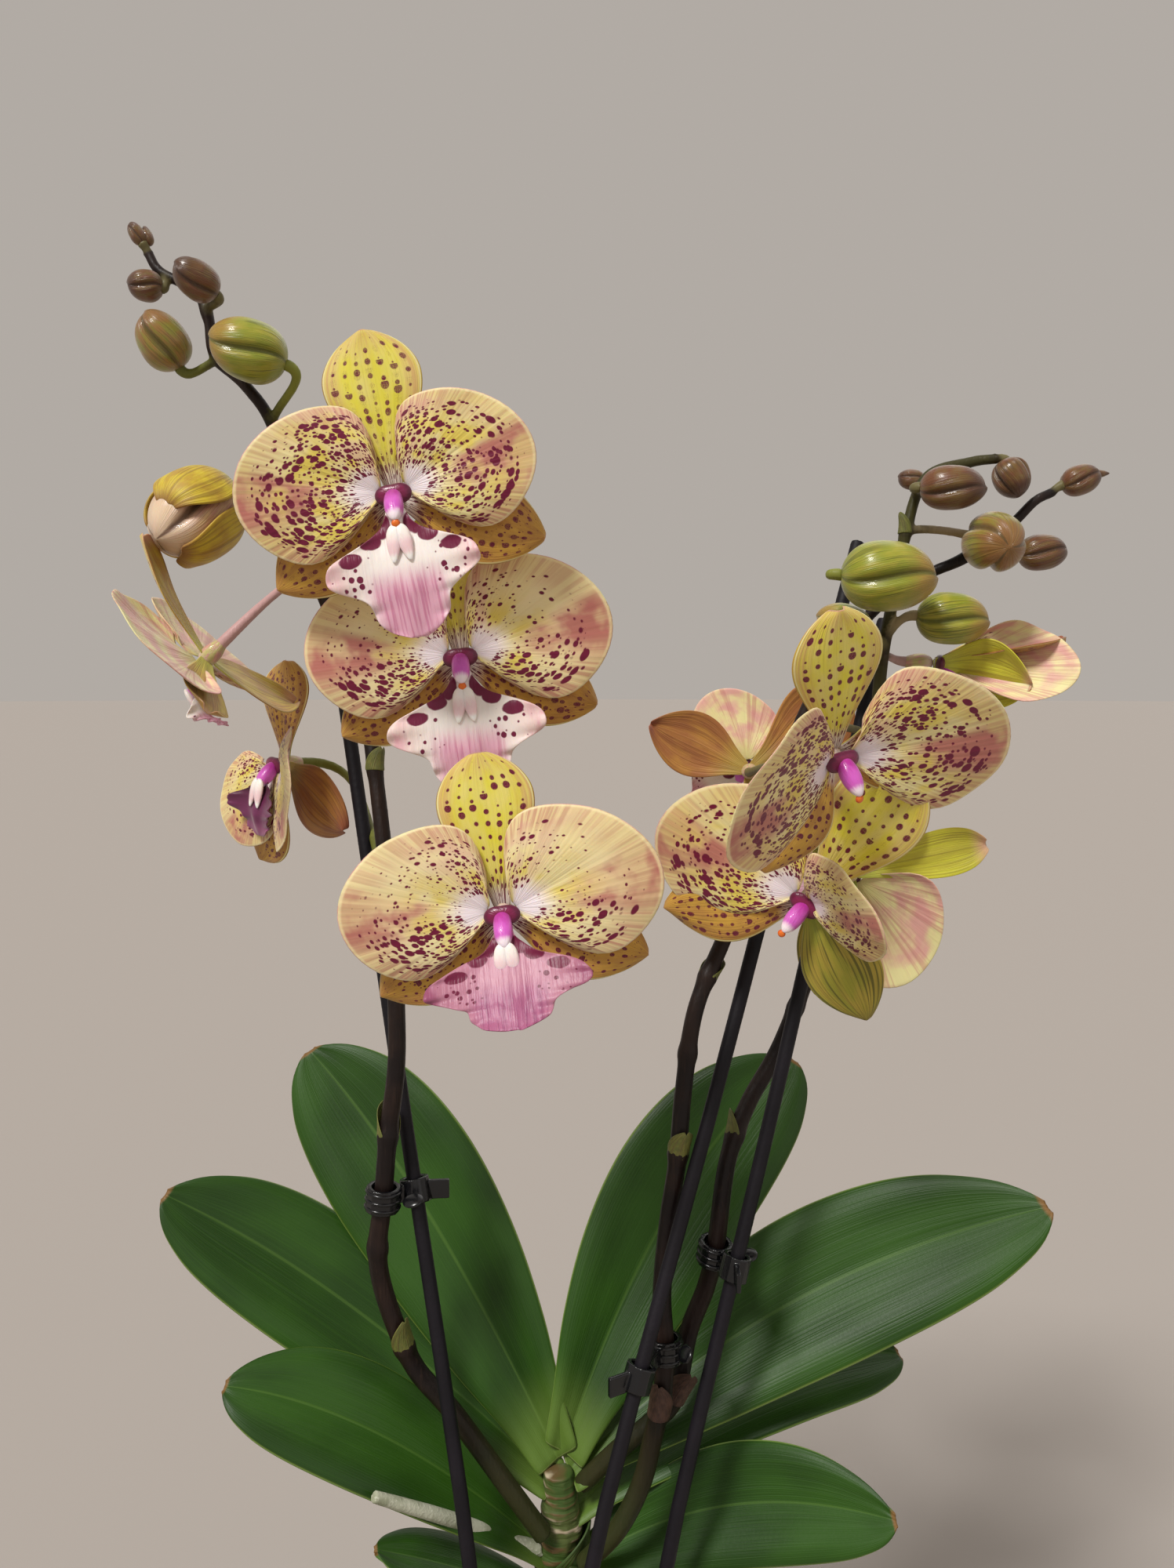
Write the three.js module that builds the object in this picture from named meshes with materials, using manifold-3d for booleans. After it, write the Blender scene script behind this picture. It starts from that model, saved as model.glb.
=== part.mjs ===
// A potted moth orchid: a pot of bark with a crown, leaves, roots and three flower spikes
// that are clipped to stakes. Millimetres, +Z up, origin at the centre of the pot's base.
// The viewer's side, which the flowers face, is -Y.
import * as THREE from "three";
import { mergeVertices } from "three/addons/utils/BufferGeometryUtils.js";
import Module from "manifold-3d";

const wasm = await Module();
wasm.setup();

// ---- Driving dimensions ----
const potHeight = 120;
const potRimRadius = 60;
const potBaseRadius = 44;
const potWall = 2.4;
const potFloor = 3;
const rimBandHeight = 13;
const rimBandStep = 2;
const drainHoleRadius = 4;
const drainHoleCount = 6;
const drainCircleRadius = 27;
const barkDrop = 14;
const touchGap = 0.3;

const crownRadius = 8;
const crownHeight = 112;
const crownDepth = 30;
const crownSetback = 20;

const leafThickness = 1.7;
const petalThickness = 0.9;
const petalLength = 43;
const petalHalfWidth = 21;
const sepalLength = 45;
const sepalHalfWidth = 13.5;
const lipLength = 37;
const lipHalfWidth = 23;
const hubRadius = 4.4;
const columnRadius = 2.6;
const columnLength = 9;

const stemRadius = 3.4;
const stemTipRadius = 1.5;
const stalkRadius = 1.4;
const stakeRadius = 2.4;
const stakeDepth = 62;
const clipWall = 1.5;
const clipHeight = 8;
const clipSlack = 0.9;

// ---- Solid helpers ----
const up = new THREE.Vector3(0, 0, 1);
const radians = THREE.MathUtils.degToRad;

function vector(values) {
  return new THREE.Vector3(...values);
}

function closedGeometry(points, index) {
  const geometry = new THREE.BufferGeometry();
  const values = points.flatMap((point) => point.toArray());
  geometry.setAttribute("position", new THREE.Float32BufferAttribute(values, 3));
  geometry.setIndex(index);
  return geometry;
}

function toSolid(geometry) {
  const bare = geometry.clone();
  bare.deleteAttribute("normal");
  bare.deleteAttribute("uv");
  const merged = mergeVertices(bare, 1e-4);
  return new wasm.Manifold(new wasm.Mesh({
    numProp: 3,
    vertProperties: new Float32Array(merged.attributes.position.array),
    triVerts: new Uint32Array(merged.index.array),
  }));
}

function toGeometry(solid) {
  const { vertProperties, triVerts } = solid.getMesh();
  const geometry = new THREE.BufferGeometry();
  geometry.setAttribute("position", new THREE.BufferAttribute(new Float32Array(vertProperties), 3));
  geometry.setIndex(new THREE.BufferAttribute(new Uint32Array(triVerts), 1));
  geometry.computeVertexNormals();
  return geometry;
}

function joined(solids) {
  return solids.reduce((whole, piece) => whole.add(piece));
}

// A round body of changing radius along a curve, with flat ends.
function sweptGeometry(curve, radiusAt, sides, steps) {
  const frames = curve.computeFrenetFrames(steps, false);
  const points = [];
  const index = [];
  for (let step = 0; step <= steps; step += 1) {
    const along = step / steps;
    const centre = curve.getPointAt(along);
    for (let side = 0; side < sides; side += 1) {
      const angle = (side / sides) * 2 * Math.PI;
      const spoke = frames.normals[step].clone().multiplyScalar(Math.cos(angle));
      spoke.addScaledVector(frames.binormals[step], Math.sin(angle));
      points.push(centre.clone().addScaledVector(spoke, radiusAt(along)));
    }
  }
  for (let step = 0; step < steps; step += 1) {
    for (let side = 0; side < sides; side += 1) {
      const here = step * sides + side;
      const beside = step * sides + ((side + 1) % sides);
      index.push(here, beside, here + sides, beside, beside + sides, here + sides);
    }
  }
  const last = steps * sides;
  for (let side = 1; side < sides - 1; side += 1) {
    index.push(0, side + 1, side);
    index.push(last, last + side, last + side + 1);
  }
  return closedGeometry(points, index);
}

// A thin sheet of even thickness whose middle surface is given by surface(along, across),
// with along from 0 to 1 and across from -1 to 1.
function sheetGeometry(surface, thickness, rows, columns) {
  const nudge = 1e-3;
  const front = [];
  const back = [];
  for (let row = 0; row <= rows; row += 1) {
    const along = (1 - Math.cos((row / rows) * Math.PI)) / 2;
    for (let column = 0; column <= columns; column += 1) {
      const across = (2 * column) / columns - 1;
      const middle = surface(along, across);
      const lengthwise = surface(along + nudge, across).sub(surface(along - nudge, across));
      const sideways = surface(along, across + nudge).sub(surface(along, across - nudge));
      const normal = lengthwise.cross(sideways).normalize().multiplyScalar(thickness / 2);
      front.push(middle.clone().add(normal));
      back.push(middle.clone().sub(normal));
    }
  }
  const index = [];
  const stride = columns + 1;
  const other = front.length;
  for (let row = 0; row < rows; row += 1) {
    for (let column = 0; column < columns; column += 1) {
      const a = row * stride + column;
      const b = a + stride;
      index.push(a, b, b + 1, a, b + 1, a + 1);
      index.push(other + a, other + b + 1, other + b, other + a, other + a + 1, other + b + 1);
    }
  }
  const edge = [];
  for (let column = 0; column < columns; column += 1) {
    edge.push(column);
  }
  for (let row = 0; row < rows; row += 1) {
    edge.push(row * stride + columns);
  }
  for (let column = columns; column > 0; column -= 1) {
    edge.push(rows * stride + column);
  }
  for (let row = rows; row > 0; row -= 1) {
    edge.push(row * stride);
  }
  edge.forEach((here, place) => {
    const next = edge[(place + 1) % edge.length];
    index.push(here, next, other + here, next, other + next, other + here);
  });
  return closedGeometry([...front, ...back], index);
}

// A body of revolution about Z from [radius, height] pairs that start and end on the axis.
function turnedGeometry(profile, sides) {
  const outline = profile.map(([radius, height]) => new THREE.Vector2(radius, height));
  return new THREE.LatheGeometry(outline, sides).rotateX(Math.PI / 2);
}

// ---- Materials ----
const petalMaterial = new THREE.MeshStandardMaterial({ color: 0xe3d58f, roughness: 0.6, metalness: 0 });
const lipMaterial = new THREE.MeshStandardMaterial({ color: 0xe9c6d2, roughness: 0.5, metalness: 0 });
const budMaterial = new THREE.MeshStandardMaterial({ color: 0x8f8f2c, roughness: 0.4, metalness: 0 });
const leafMaterial = new THREE.MeshStandardMaterial({ color: 0x2f6a1c, roughness: 0.35, metalness: 0 });
const stemMaterial = new THREE.MeshStandardMaterial({ color: 0x2c231d, roughness: 0.5, metalness: 0 });
const crownMaterial = new THREE.MeshStandardMaterial({ color: 0x5c7a34, roughness: 0.6, metalness: 0 });
const rootMaterial = new THREE.MeshStandardMaterial({ color: 0xb9b7a4, roughness: 0.8, metalness: 0 });
const barkMaterial = new THREE.MeshStandardMaterial({ color: 0x5b3d26, roughness: 0.9, metalness: 0 });
const potMaterial = new THREE.MeshStandardMaterial({ color: 0xd9d4c9, roughness: 0.35, metalness: 0 });
const stakeMaterial = new THREE.MeshStandardMaterial({ color: 0x15131a, roughness: 0.55, metalness: 0 });
const clipMaterial = new THREE.MeshStandardMaterial({ color: 0x0c0c0e, roughness: 0.25, metalness: 0 });

const orchid = new THREE.Group();
orchid.name = "potted_orchid";
const plant = new THREE.Group();
const barkLevel = potHeight - barkDrop;
plant.position.set(0, crownSetback, barkLevel);
orchid.add(plant);

function addMesh(parent, name, geometry, material) {
  const mesh = new THREE.Mesh(geometry, material.clone());
  mesh.name = name;
  parent.add(mesh);
  return mesh;
}

// ---- Pot ----
const potSides = 32;

function outerRadiusAt(height) {
  return potBaseRadius + ((potRimRadius - rimBandStep - potBaseRadius) * height) / potHeight;
}

function innerRadiusAt(height) {
  return outerRadiusAt(height) - potWall;
}

function potSolid() {
  const bandFoot = potHeight - rimBandHeight;
  const body = toSolid(turnedGeometry([
    [0, 0],
    [outerRadiusAt(0), 0],
    [outerRadiusAt(bandFoot), bandFoot],
    [potRimRadius, bandFoot + rimBandStep],
    [potRimRadius, potHeight],
    [innerRadiusAt(potHeight), potHeight],
    [innerRadiusAt(potFloor), potFloor],
    [0, potFloor],
  ], potSides));
  const holes = [];
  for (let hole = 0; hole < drainHoleCount; hole += 1) {
    const angle = (hole / drainHoleCount) * 2 * Math.PI;
    const drill = new THREE.CylinderGeometry(drainHoleRadius, drainHoleRadius, potFloor * 4, 10);
    drill.rotateX(Math.PI / 2);
    drill.translate(drainCircleRadius * Math.cos(angle), drainCircleRadius * Math.sin(angle), potFloor / 2);
    holes.push(toSolid(drill));
  }
  return body.subtract(joined(holes));
}

// ---- Crown ----
function crownCurve() {
  return new THREE.CatmullRomCurve3([
    vector([2, -2, -crownDepth]),
    vector([0, 0, 0]),
    vector([-3, 1, crownHeight * 0.31]),
    vector([-2, 0, crownHeight * 0.67]),
    vector([-3, 0, crownHeight]),
  ]);
}

function crownSolid(extra) {
  const radiusAt = (along) => crownRadius * (1 - 0.35 * along ** 3) + extra;
  return toSolid(sweptGeometry(crownCurve(), radiusAt, 10, 8));
}

// ---- Roots: one reaches out into the air, the others go down into the bark ----
// rearReach is how far behind the crown a root can go down with rootInset left to the pot's wall.
const rootInset = 10;
const rearReach = innerRadiusAt(barkLevel) - crownSetback - rootInset;
const roots = [
  {
    name: "root_aerial_left",
    radius: 2.6,
    points: [[-5, -1, 55], [-20, -6, 64], [-38, -20, 82], [-61, -35, 101]],
  },
  {
    name: "root_aerial_front",
    radius: 2.4,
    points: [[-2, -6, 50], [-10, -22, 44], [-12, -34, 22], [-10, -36, -12]],
  },
  {
    name: "root_aerial_right",
    radius: 2.4,
    points: [[3, -6, 44], [10, -20, 40], [15, -30, 20], [16, -32, -12]],
  },
  {
    name: "root_aerial_back",
    radius: 2.4,
    points: [[0, 6, 42], [8, rearReach * 0.75, 36], [12, rearReach, 16], [10, rearReach, -12]],
  },
];

function rootSolid({ radius, points }, extra) {
  const curve = new THREE.CatmullRomCurve3(points.map(vector));
  const radiusAt = (along) => radius * (1 - 0.25 * along ** 4) + extra;
  return toSolid(sweptGeometry(curve, radiusAt, 7, 7));
}

// ---- Stakes: rods pushed into the bark, straight above it, with a free top ----
// The left one's right side passes beside a flower's stalk, so it is placed by that side.
const stakes = {
  left: {
    foot: [-21.6 - stakeRadius, -38, 0],
    bend: [-26.6 - stakeRadius, -34, 62],
    top: [-83.6 - stakeRadius, 32, 405],
  },
  middle: { foot: [-3, -50, 0], bend: [5, -45, 68], top: [103, 34, 409] },
  right: { foot: [24, -33, 0], bend: [30, -29, 56], top: [109, 18, 381] },
};
const rodSides = 10;
const rodSteps = 12;

function stakeCurve({ foot, bend, top }) {
  const buried = vector(foot).setZ(-stakeDepth);
  const middle = vector(bend).lerp(vector(top), 0.5);
  const points = [buried, vector(foot), vector(bend), middle, vector(top)];
  return new THREE.CatmullRomCurve3(points, false, "centripetal");
}

function stakeSolid(stake, extra) {
  return toSolid(sweptGeometry(stakeCurve(stake), () => stakeRadius + extra, rodSides, rodSteps));
}

// ---- Flower spikes ----
const spikes = {
  left: [
    [-8, -9, 68], [-20, -12, 88], [-38, -13, 115], [-50, -12, 129], [-56, -13, 143], [-61, -14, 160],
    [-62, -16, 174], [-60, -16, 190], [-58, -16, 212], [-55, -14, 240], [-57, -8, 280], [-60, -4, 306],
    [-66, 5, 344], [-73, 10, 368], [-82, 10, 390], [-89, 5, 419], [-94, -3, 442], [-101, -6, 453],
    [-111, -5, 463], [-113, -4, 474], [-117, -3, 483], [-129, -1, 490], [-133, 0, 496],
  ],
  middle: [
    [6, -8, 57], [17, -16, 75], [25, -17, 92], [29, -16, 108], [32, -15, 122], [33, -14, 138],
    [32, -13, 157], [34, -12, 181], [37, -11, 202], [39, -9, 225], [43, -6, 251], [53, 0, 274],
    [63, 6, 296], [71, 10, 322], [81, 12, 349], [92, 10, 370], [105, 5, 386], [119, 2, 395],
    [130, 0, 400], [144, -1, 410], [152, -1, 418], [158, 0, 421],
  ],
  right: [
    [5, 0, 80], [17, -3, 94], [29, -5, 106], [37, -6, 116], [42, -2, 137], [48, 0, 152],
    [51, -3, 169], [55, 1, 196], [63, 10, 213], [75, 15, 233], [88, 14, 269], [96, 9, 297],
    [102, 3, 323], [103, -2, 362], [105, -4, 380], [108, -4, 396], [110, -4, 409], [116, -3, 425],
    [130, -3, 430], [138, -4, 431],
  ],
};
const spikeSides = 8;

function spikeCurve(points) {
  return new THREE.CatmullRomCurve3(points.map(vector), false, "centripetal");
}

function stemRadiusAt(along) {
  return stemRadius + (stemTipRadius - stemRadius) * along ** 1.6;
}

function curveAtHeight(curve, height) {
  let low = 0;
  let high = 1;
  for (let pass = 0; pass < 30; pass += 1) {
    const middle = (low + high) / 2;
    if (curve.getPointAt(middle).z < height) {
      low = middle;
    } else {
      high = middle;
    }
  }
  return low;
}

// ---- Flowers ----
// In a flower's own frame +Z is the way it faces, +Y is its top sepal and +X is its right.
// heading turns it left or right of -Y, tilt bows it down and roll turns it in its own plane.
// fold and sepalFold swing the petals and sepals forward, petalSpread scales a petal's width,
// and lipSpread and lipReach scale the lip.
const flowers = [
  {
    name: "flower_left_1", at: [-47, -52, 412],
    heading: 0, tilt: 3, roll: 11, spike: "left", height: 428,
  },
  {
    name: "flower_left_2", at: [-31, -32, 367],
    heading: 2, tilt: 0, roll: 7, spike: "left", height: 372,
  },
  {
    name: "flower_left_3", at: [-17, -58, 294],
    heading: 0, tilt: 0, roll: 9, spike: "left", height: 300,
  },
  {
    name: "flower_left_4", at: [-108, -19, 375],
    heading: -84, tilt: 35, roll: 0, spike: "left", height: 396,
  },
  {
    name: "flower_left_5", at: [-103, 35, 330],
    heading: -42, tilt: 15, roll: 0, spike: "left", height: 290,
  },
  {
    name: "flower_right_1", at: [75, -68, 339],
    heading: 25, tilt: 12, roll: 8, spike: "right", height: 340,
  },
  {
    name: "flower_right_2", at: [74, -35, 293],
    heading: -28, tilt: 10, roll: -16, spike: "middle", height: 300,
  },
  {
    name: "flower_right_3", at: [69, 58, 326],
    heading: 170, tilt: 0, roll: 51, spike: "middle", height: 330,
  },
  {
    name: "flower_right_4", at: [101, 26, 292],
    heading: 160, tilt: 0, roll: 77, spike: "right", height: 285,
  },
  {
    name: "flower_right_5", at: [121, 4, 366],
    heading: 88, tilt: 5, roll: 0, spike: "right", height: 368,
  },
];
const flowerShape = { fold: 4, sepalFold: 1, petalSpread: 1, lipSpread: 1, lipReach: 1 };
const shapeOf = {
  flower_left_4: { fold: 22, sepalFold: 7, lipSpread: 0.35 },
  flower_left_5: { fold: 20, sepalFold: 6, lipSpread: 0.35 },
  flower_right_1: { fold: 22, sepalFold: 7, lipSpread: 0.35 },
  flower_right_2: { fold: 22, sepalFold: 7, lipSpread: 0.35 },
  flower_right_3: { fold: 10, sepalFold: 3, lipSpread: 0.5 },
  flower_right_4: { fold: 10, sepalFold: 3, lipSpread: 0.5 },
  flower_right_5: { fold: 40, sepalFold: 60, petalSpread: 0.55, lipSpread: 0.16, lipReach: 0.2 },
};
const stubLength = 6;
const stubRadius = stalkRadius + 0.6;
const sepalDroop = 28;
const petalRaise = 18;
const tepalRows = 4;

// Turns a sheet that runs along +X until it leaves the centre at an angle, leaning forward.
function placedTepal(geometry, angle, fold) {
  geometry.rotateY(-radians(fold));
  geometry.rotateZ(radians(angle));
  return toSolid(geometry);
}

function tepalSurface(length, halfWidth, widthAt, heightAt) {
  return (along, across) => {
    const inside = Math.min(Math.max(along, 0), 1);
    const width = halfWidth * Math.max(widthAt(inside), 0.12);
    return vector([length * (0.04 + 0.96 * along), width * across, heightAt(along, across)]);
  };
}

function sepalSolid(angle, fold) {
  const widthAt = (along) => Math.sqrt(4 * along * (1 - along)) * (0.72 + 0.28 * along);
  const heightAt = (along, across) => 3 * along * along - 2.2 * across * across * along - 1;
  const surface = tepalSurface(sepalLength, sepalHalfWidth, widthAt, heightAt);
  return placedTepal(sheetGeometry(surface, petalThickness, tepalRows, 2), angle, fold);
}

function petalSolid(angle, fold, spread) {
  const widthAt = (along) => Math.sqrt(4 * along * (1 - along)) * (0.66 + 0.34 * Math.min(1, 1.6 * along));
  const heightAt = (along, across) => 1 + 3 * along - 2.4 * across * across * along;
  const surface = tepalSurface(petalLength, petalHalfWidth * spread, widthAt, heightAt);
  return placedTepal(sheetGeometry(surface, petalThickness, tepalRows, 4), angle, fold);
}

function flowerSolid({ fold, sepalFold, petalSpread }) {
  const hub = toSolid(turnedGeometry([
    [0, -hubRadius - stubLength],
    [stubRadius, -hubRadius - stubLength],
    [stubRadius, -hubRadius * 0.9],
    [hubRadius, -hubRadius * 0.3],
    [hubRadius * 0.8, hubRadius * 0.7],
    [0, hubRadius],
  ], 8));
  return joined([
    hub,
    sepalSolid(90, sepalFold),
    sepalSolid(180 + sepalDroop, sepalFold),
    sepalSolid(-sepalDroop, sepalFold),
    petalSolid(petalRaise, fold, petalSpread),
    petalSolid(180 - petalRaise, fold, petalSpread),
  ]);
}

function lipSolid({ lipSpread, lipReach }) {
  const foot = hubRadius + touchGap;
  const column = turnedGeometry([
    [0, 0], [columnRadius, 0], [columnRadius, columnLength * 0.6],
    [columnRadius * 0.7, columnLength], [0, columnLength],
  ], 8);
  column.translate(0, 0, foot);
  const widthAt = (along) => 0.14 + 0.86 * Math.sin(Math.PI * Math.min(1, along ** 0.8 * 1.12)) ** 2;
  const surface = (along, across) => {
    const width = lipHalfWidth * lipSpread * Math.max(widthAt(Math.min(Math.max(along, 0), 1)), 0.16);
    const rise = foot + 1 + 5 * along + 2 * lipSpread * along * across * across;
    return vector([width * across, -lipLength * lipReach * along, rise]);
  };
  const blade = sheetGeometry(surface, petalThickness, 5, 4);
  return toSolid(column).add(toSolid(blade));
}

function facing({ at, heading, tilt, roll }) {
  const turn = new THREE.Quaternion();
  turn.multiply(new THREE.Quaternion().setFromAxisAngle(up, radians(heading)));
  turn.multiply(new THREE.Quaternion().setFromAxisAngle(vector([1, 0, 0]), radians(90 + tilt)));
  turn.multiply(new THREE.Quaternion().setFromAxisAngle(up, radians(roll)));
  return { position: vector(at), turn };
}

// ---- Buds: length and thickness, and the way from stalk to tip ----
const buds = [
  {
    name: "bud_left_1", at: [-136, -1, 501.5], size: [8, 5],
    way: [-0.6, 0, 1], spike: "left", height: 496,
  },
  {
    name: "bud_left_2", at: [-133, -3, 485], size: [11, 10],
    way: [-1, -0.2, 0.1], spike: "left", height: 489,
  },
  {
    name: "bud_left_3", at: [-113, -15, 483], size: [15, 12],
    way: [-0.7, -0.6, 0.5], spike: "left", height: 477,
  },
  {
    name: "bud_left_4", at: [-127, -6, 467], size: [19, 16],
    way: [-0.45, -0.3, 0.85], spike: "left", height: 461,
  },
  {
    name: "bud_left_5", at: [-96.5, -18, 461], size: [24, 19],
    way: [-1, -0.2, 0.35], spike: "left", height: 442,
  },
  {
    name: "bud_left_opening", at: [-118, -8, 412], size: [32, 26],
    way: [-0.5, -0.7, -0.5], spike: "left", height: 420,
  },
  {
    name: "bud_right_1", at: [143, -5, 425], size: [13, 12],
    way: [0.3, -0.2, -0.9], spike: "right", height: 431,
  },
  {
    name: "bud_right_2", at: [120.5, -16, 420], size: [20, 14],
    way: [1, -0.3, -0.05], spike: "right", height: 420,
  },
  {
    name: "bud_right_3", at: [114, 6, 426], size: [9, 7],
    way: [-1, 0.3, 0.3], spike: "right", height: 420,
  },
  {
    name: "bud_right_4", at: [134, -17, 403], size: [21, 19],
    way: [0.1, -1, -0.25], spike: "right", height: 408,
  },
  {
    name: "bud_right_5", at: [156, 2, 402], size: [16, 12],
    way: [1, 0, 0.05], spike: "middle", height: 401,
  },
  {
    name: "bud_right_6", at: [167, 0, 425], size: [13, 10],
    way: [1, 0, 0.3], spike: "middle", height: 421,
  },
  {
    name: "bud_right_7", at: [99, -24, 392], size: [29, 22],
    way: [1, -0.1, -0.05], spike: "right", height: 388,
  },
  {
    name: "bud_right_8", at: [124, -8, 380], size: [23, 17],
    way: [1, -0.1, -0.1], spike: "right", height: 374,
  },
  {
    name: "bud_right_9", at: [90, -6, 378], size: [18, 14],
    way: [-0.8, 0.2, 0.3], spike: "right", height: 370,
  },
];

function budSolid([length, thickness]) {
  const profile = [0, 0.25, 0.5, 0.75, 1].map((along) => {
    const radius = (thickness / 2) * Math.sin(Math.PI * along ** 0.85);
    return [Math.max(radius, 0), length * (along - 0.5)];
  });
  profile[0][0] = 0;
  profile[4][0] = 0;
  return toSolid(turnedGeometry(profile, 8));
}

function pointing(way) {
  return new THREE.Quaternion().setFromUnitVectors(up, vector(way).normalize());
}

// ---- Stalks: from the stem to the back of a flower or the foot of a bud ----
// stalkLean is the part of its length a stalk runs straight on at its end, and stalkRise the
// part it takes to leave the stem.
const stalkLean = 0.45;
const stalkRise = 0.25;

function stalkSolid(curve, height, end, way) {
  const start = curve.getPointAt(curveAtHeight(curve, height));
  const lean = end.distanceTo(start) * stalkLean;
  const bend = end.clone().addScaledVector(way, -lean);
  const rise = start.clone().addScaledVector(end.clone().sub(start), stalkRise);
  rise.z += lean * stalkRise;
  const path = new THREE.CubicBezierCurve3(start, rise, bend, end);
  return toSolid(sweptGeometry(path, () => stalkRadius, 6, 8));
}

function flowerStalk(curve, flower) {
  const { position, turn } = facing(flower);
  const way = up.clone().applyQuaternion(turn);
  const back = position.clone().addScaledVector(way, -hubRadius - stubLength - touchGap);
  return stalkSolid(curve, flower.height, back, way);
}

function budStalk(curve, { at, size, way, height }) {
  const direction = vector(way).normalize();
  const foot = vector(at).addScaledVector(direction, -size[0] / 2 - touchGap);
  return stalkSolid(curve, height, foot, direction);
}

function spikeSolid(name) {
  const curve = spikeCurve(spikes[name]);
  const stem = toSolid(sweptGeometry(curve, stemRadiusAt, spikeSides, spikes[name].length + 2));
  const ownFlowers = flowers.filter((flower) => flower.spike === name);
  const ownBuds = buds.filter((bud) => bud.spike === name);
  return joined([
    stem,
    ...ownFlowers.map((flower) => flowerStalk(curve, flower)),
    ...ownBuds.map((bud) => budStalk(curve, bud)),
  ]);
}

// ---- Leaves ----
// Each leaf's midrib runs from the crown through a middle point to the tip. face is the way
// its upper side looks halfway along.
const leaves = [
  {
    name: "leaf_back_left", base: [-6, 9, 98], middle: [-54, 37, 166], tip: [-101, 58, 217],
    halfWidth: 28, face: [0, -1, 0.35],
  },
  {
    name: "leaf_left", base: [-9, 5, 90], middle: [-80, 22, 136], tip: [-145, 20, 176],
    halfWidth: 24, face: [0, -0.75, 0.8],
  },
  {
    name: "leaf_low_left", base: [-9, 4, 62], middle: [-60, -14, 109], tip: [-111, -25, 132],
    halfWidth: 20, face: [0, -0.6, 0.9],
  },
  {
    name: "leaf_front_left", base: [-9, -3, 48], middle: [-34, -15, 62], tip: [-62, -28, 78],
    halfWidth: 12, face: [0, -0.3, 1],
  },
  {
    name: "leaf_back_right", base: [1, 10, 100], middle: [38, 34, 167], tip: [86, 50, 216],
    halfWidth: 27, face: [0, -1, 0.35],
  },
  {
    name: "leaf_right", base: [7, 8, 94], middle: [80, 16, 140], tip: [163, -5, 183],
    halfWidth: 27, face: [0, -0.8, 0.75],
  },
  {
    name: "leaf_low_right", base: [8, 8, 78], middle: [66, 28, 103], tip: [124, 30, 110],
    halfWidth: 22, face: [0, -0.5, 0.9],
  },
  {
    name: "leaf_front_right", base: [9, 1, 58], middle: [55, -6, 79], tip: [106, -34, 92],
    halfWidth: 19, face: [0, -0.8, 0.6],
  },
];

function leafSurface({ base, middle, tip, halfWidth, face }) {
  const control = vector(middle).multiplyScalar(2).sub(vector(base).add(vector(tip)).multiplyScalar(0.5));
  const rib = new THREE.QuadraticBezierCurve3(vector(base), control, vector(tip));
  const side = new THREE.Vector3().crossVectors(vector(tip).sub(vector(base)), vector(face)).normalize();
  return (along, across) => {
    const inside = Math.min(Math.max(along, 0), 1);
    const broad = Math.sqrt(4 * inside * (1 - inside)) * (0.5 + 0.5 * Math.min(1, 1.7 * inside));
    const width = halfWidth * Math.max(broad, 0.08);
    const point = rib.getPoint(inside).addScaledVector(rib.getTangent(inside), (along - inside) * 100);
    const lift = vector(face).normalize().multiplyScalar(0.12 * width * Math.abs(across));
    return point.addScaledVector(side, width * across).add(lift);
  };
}

function leafSolid(leaf) {
  return toSolid(sheetGeometry(leafSurface(leaf), leafThickness, 8, 4));
}

// ---- Clips: a ring round the stem and a ring round the stake, with a thumb tab ----
const clips = [
  { name: "clip_left", spike: "left", height: 191 },
  { name: "clip_middle", spike: "middle", height: 138 },
  { name: "clip_right", spike: "right", height: 166 },
];

const clipSides = 12;
const tabLength = 7;

function ringSolid(inner, centre, way) {
  const outline = new THREE.Shape().absarc(0, 0, inner + clipWall, 0, 2 * Math.PI);
  outline.holes.push(new THREE.Path().absarc(0, 0, inner, 0, 2 * Math.PI, true));
  const settings = { depth: clipHeight, bevelEnabled: false, curveSegments: clipSides / 2 };
  const ring = new THREE.ExtrudeGeometry(outline, settings);
  ring.translate(0, 0, -clipHeight / 2);
  ring.applyQuaternion(new THREE.Quaternion().setFromUnitVectors(up, way));
  ring.translate(...centre.toArray());
  return toSolid(ring);
}

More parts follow.
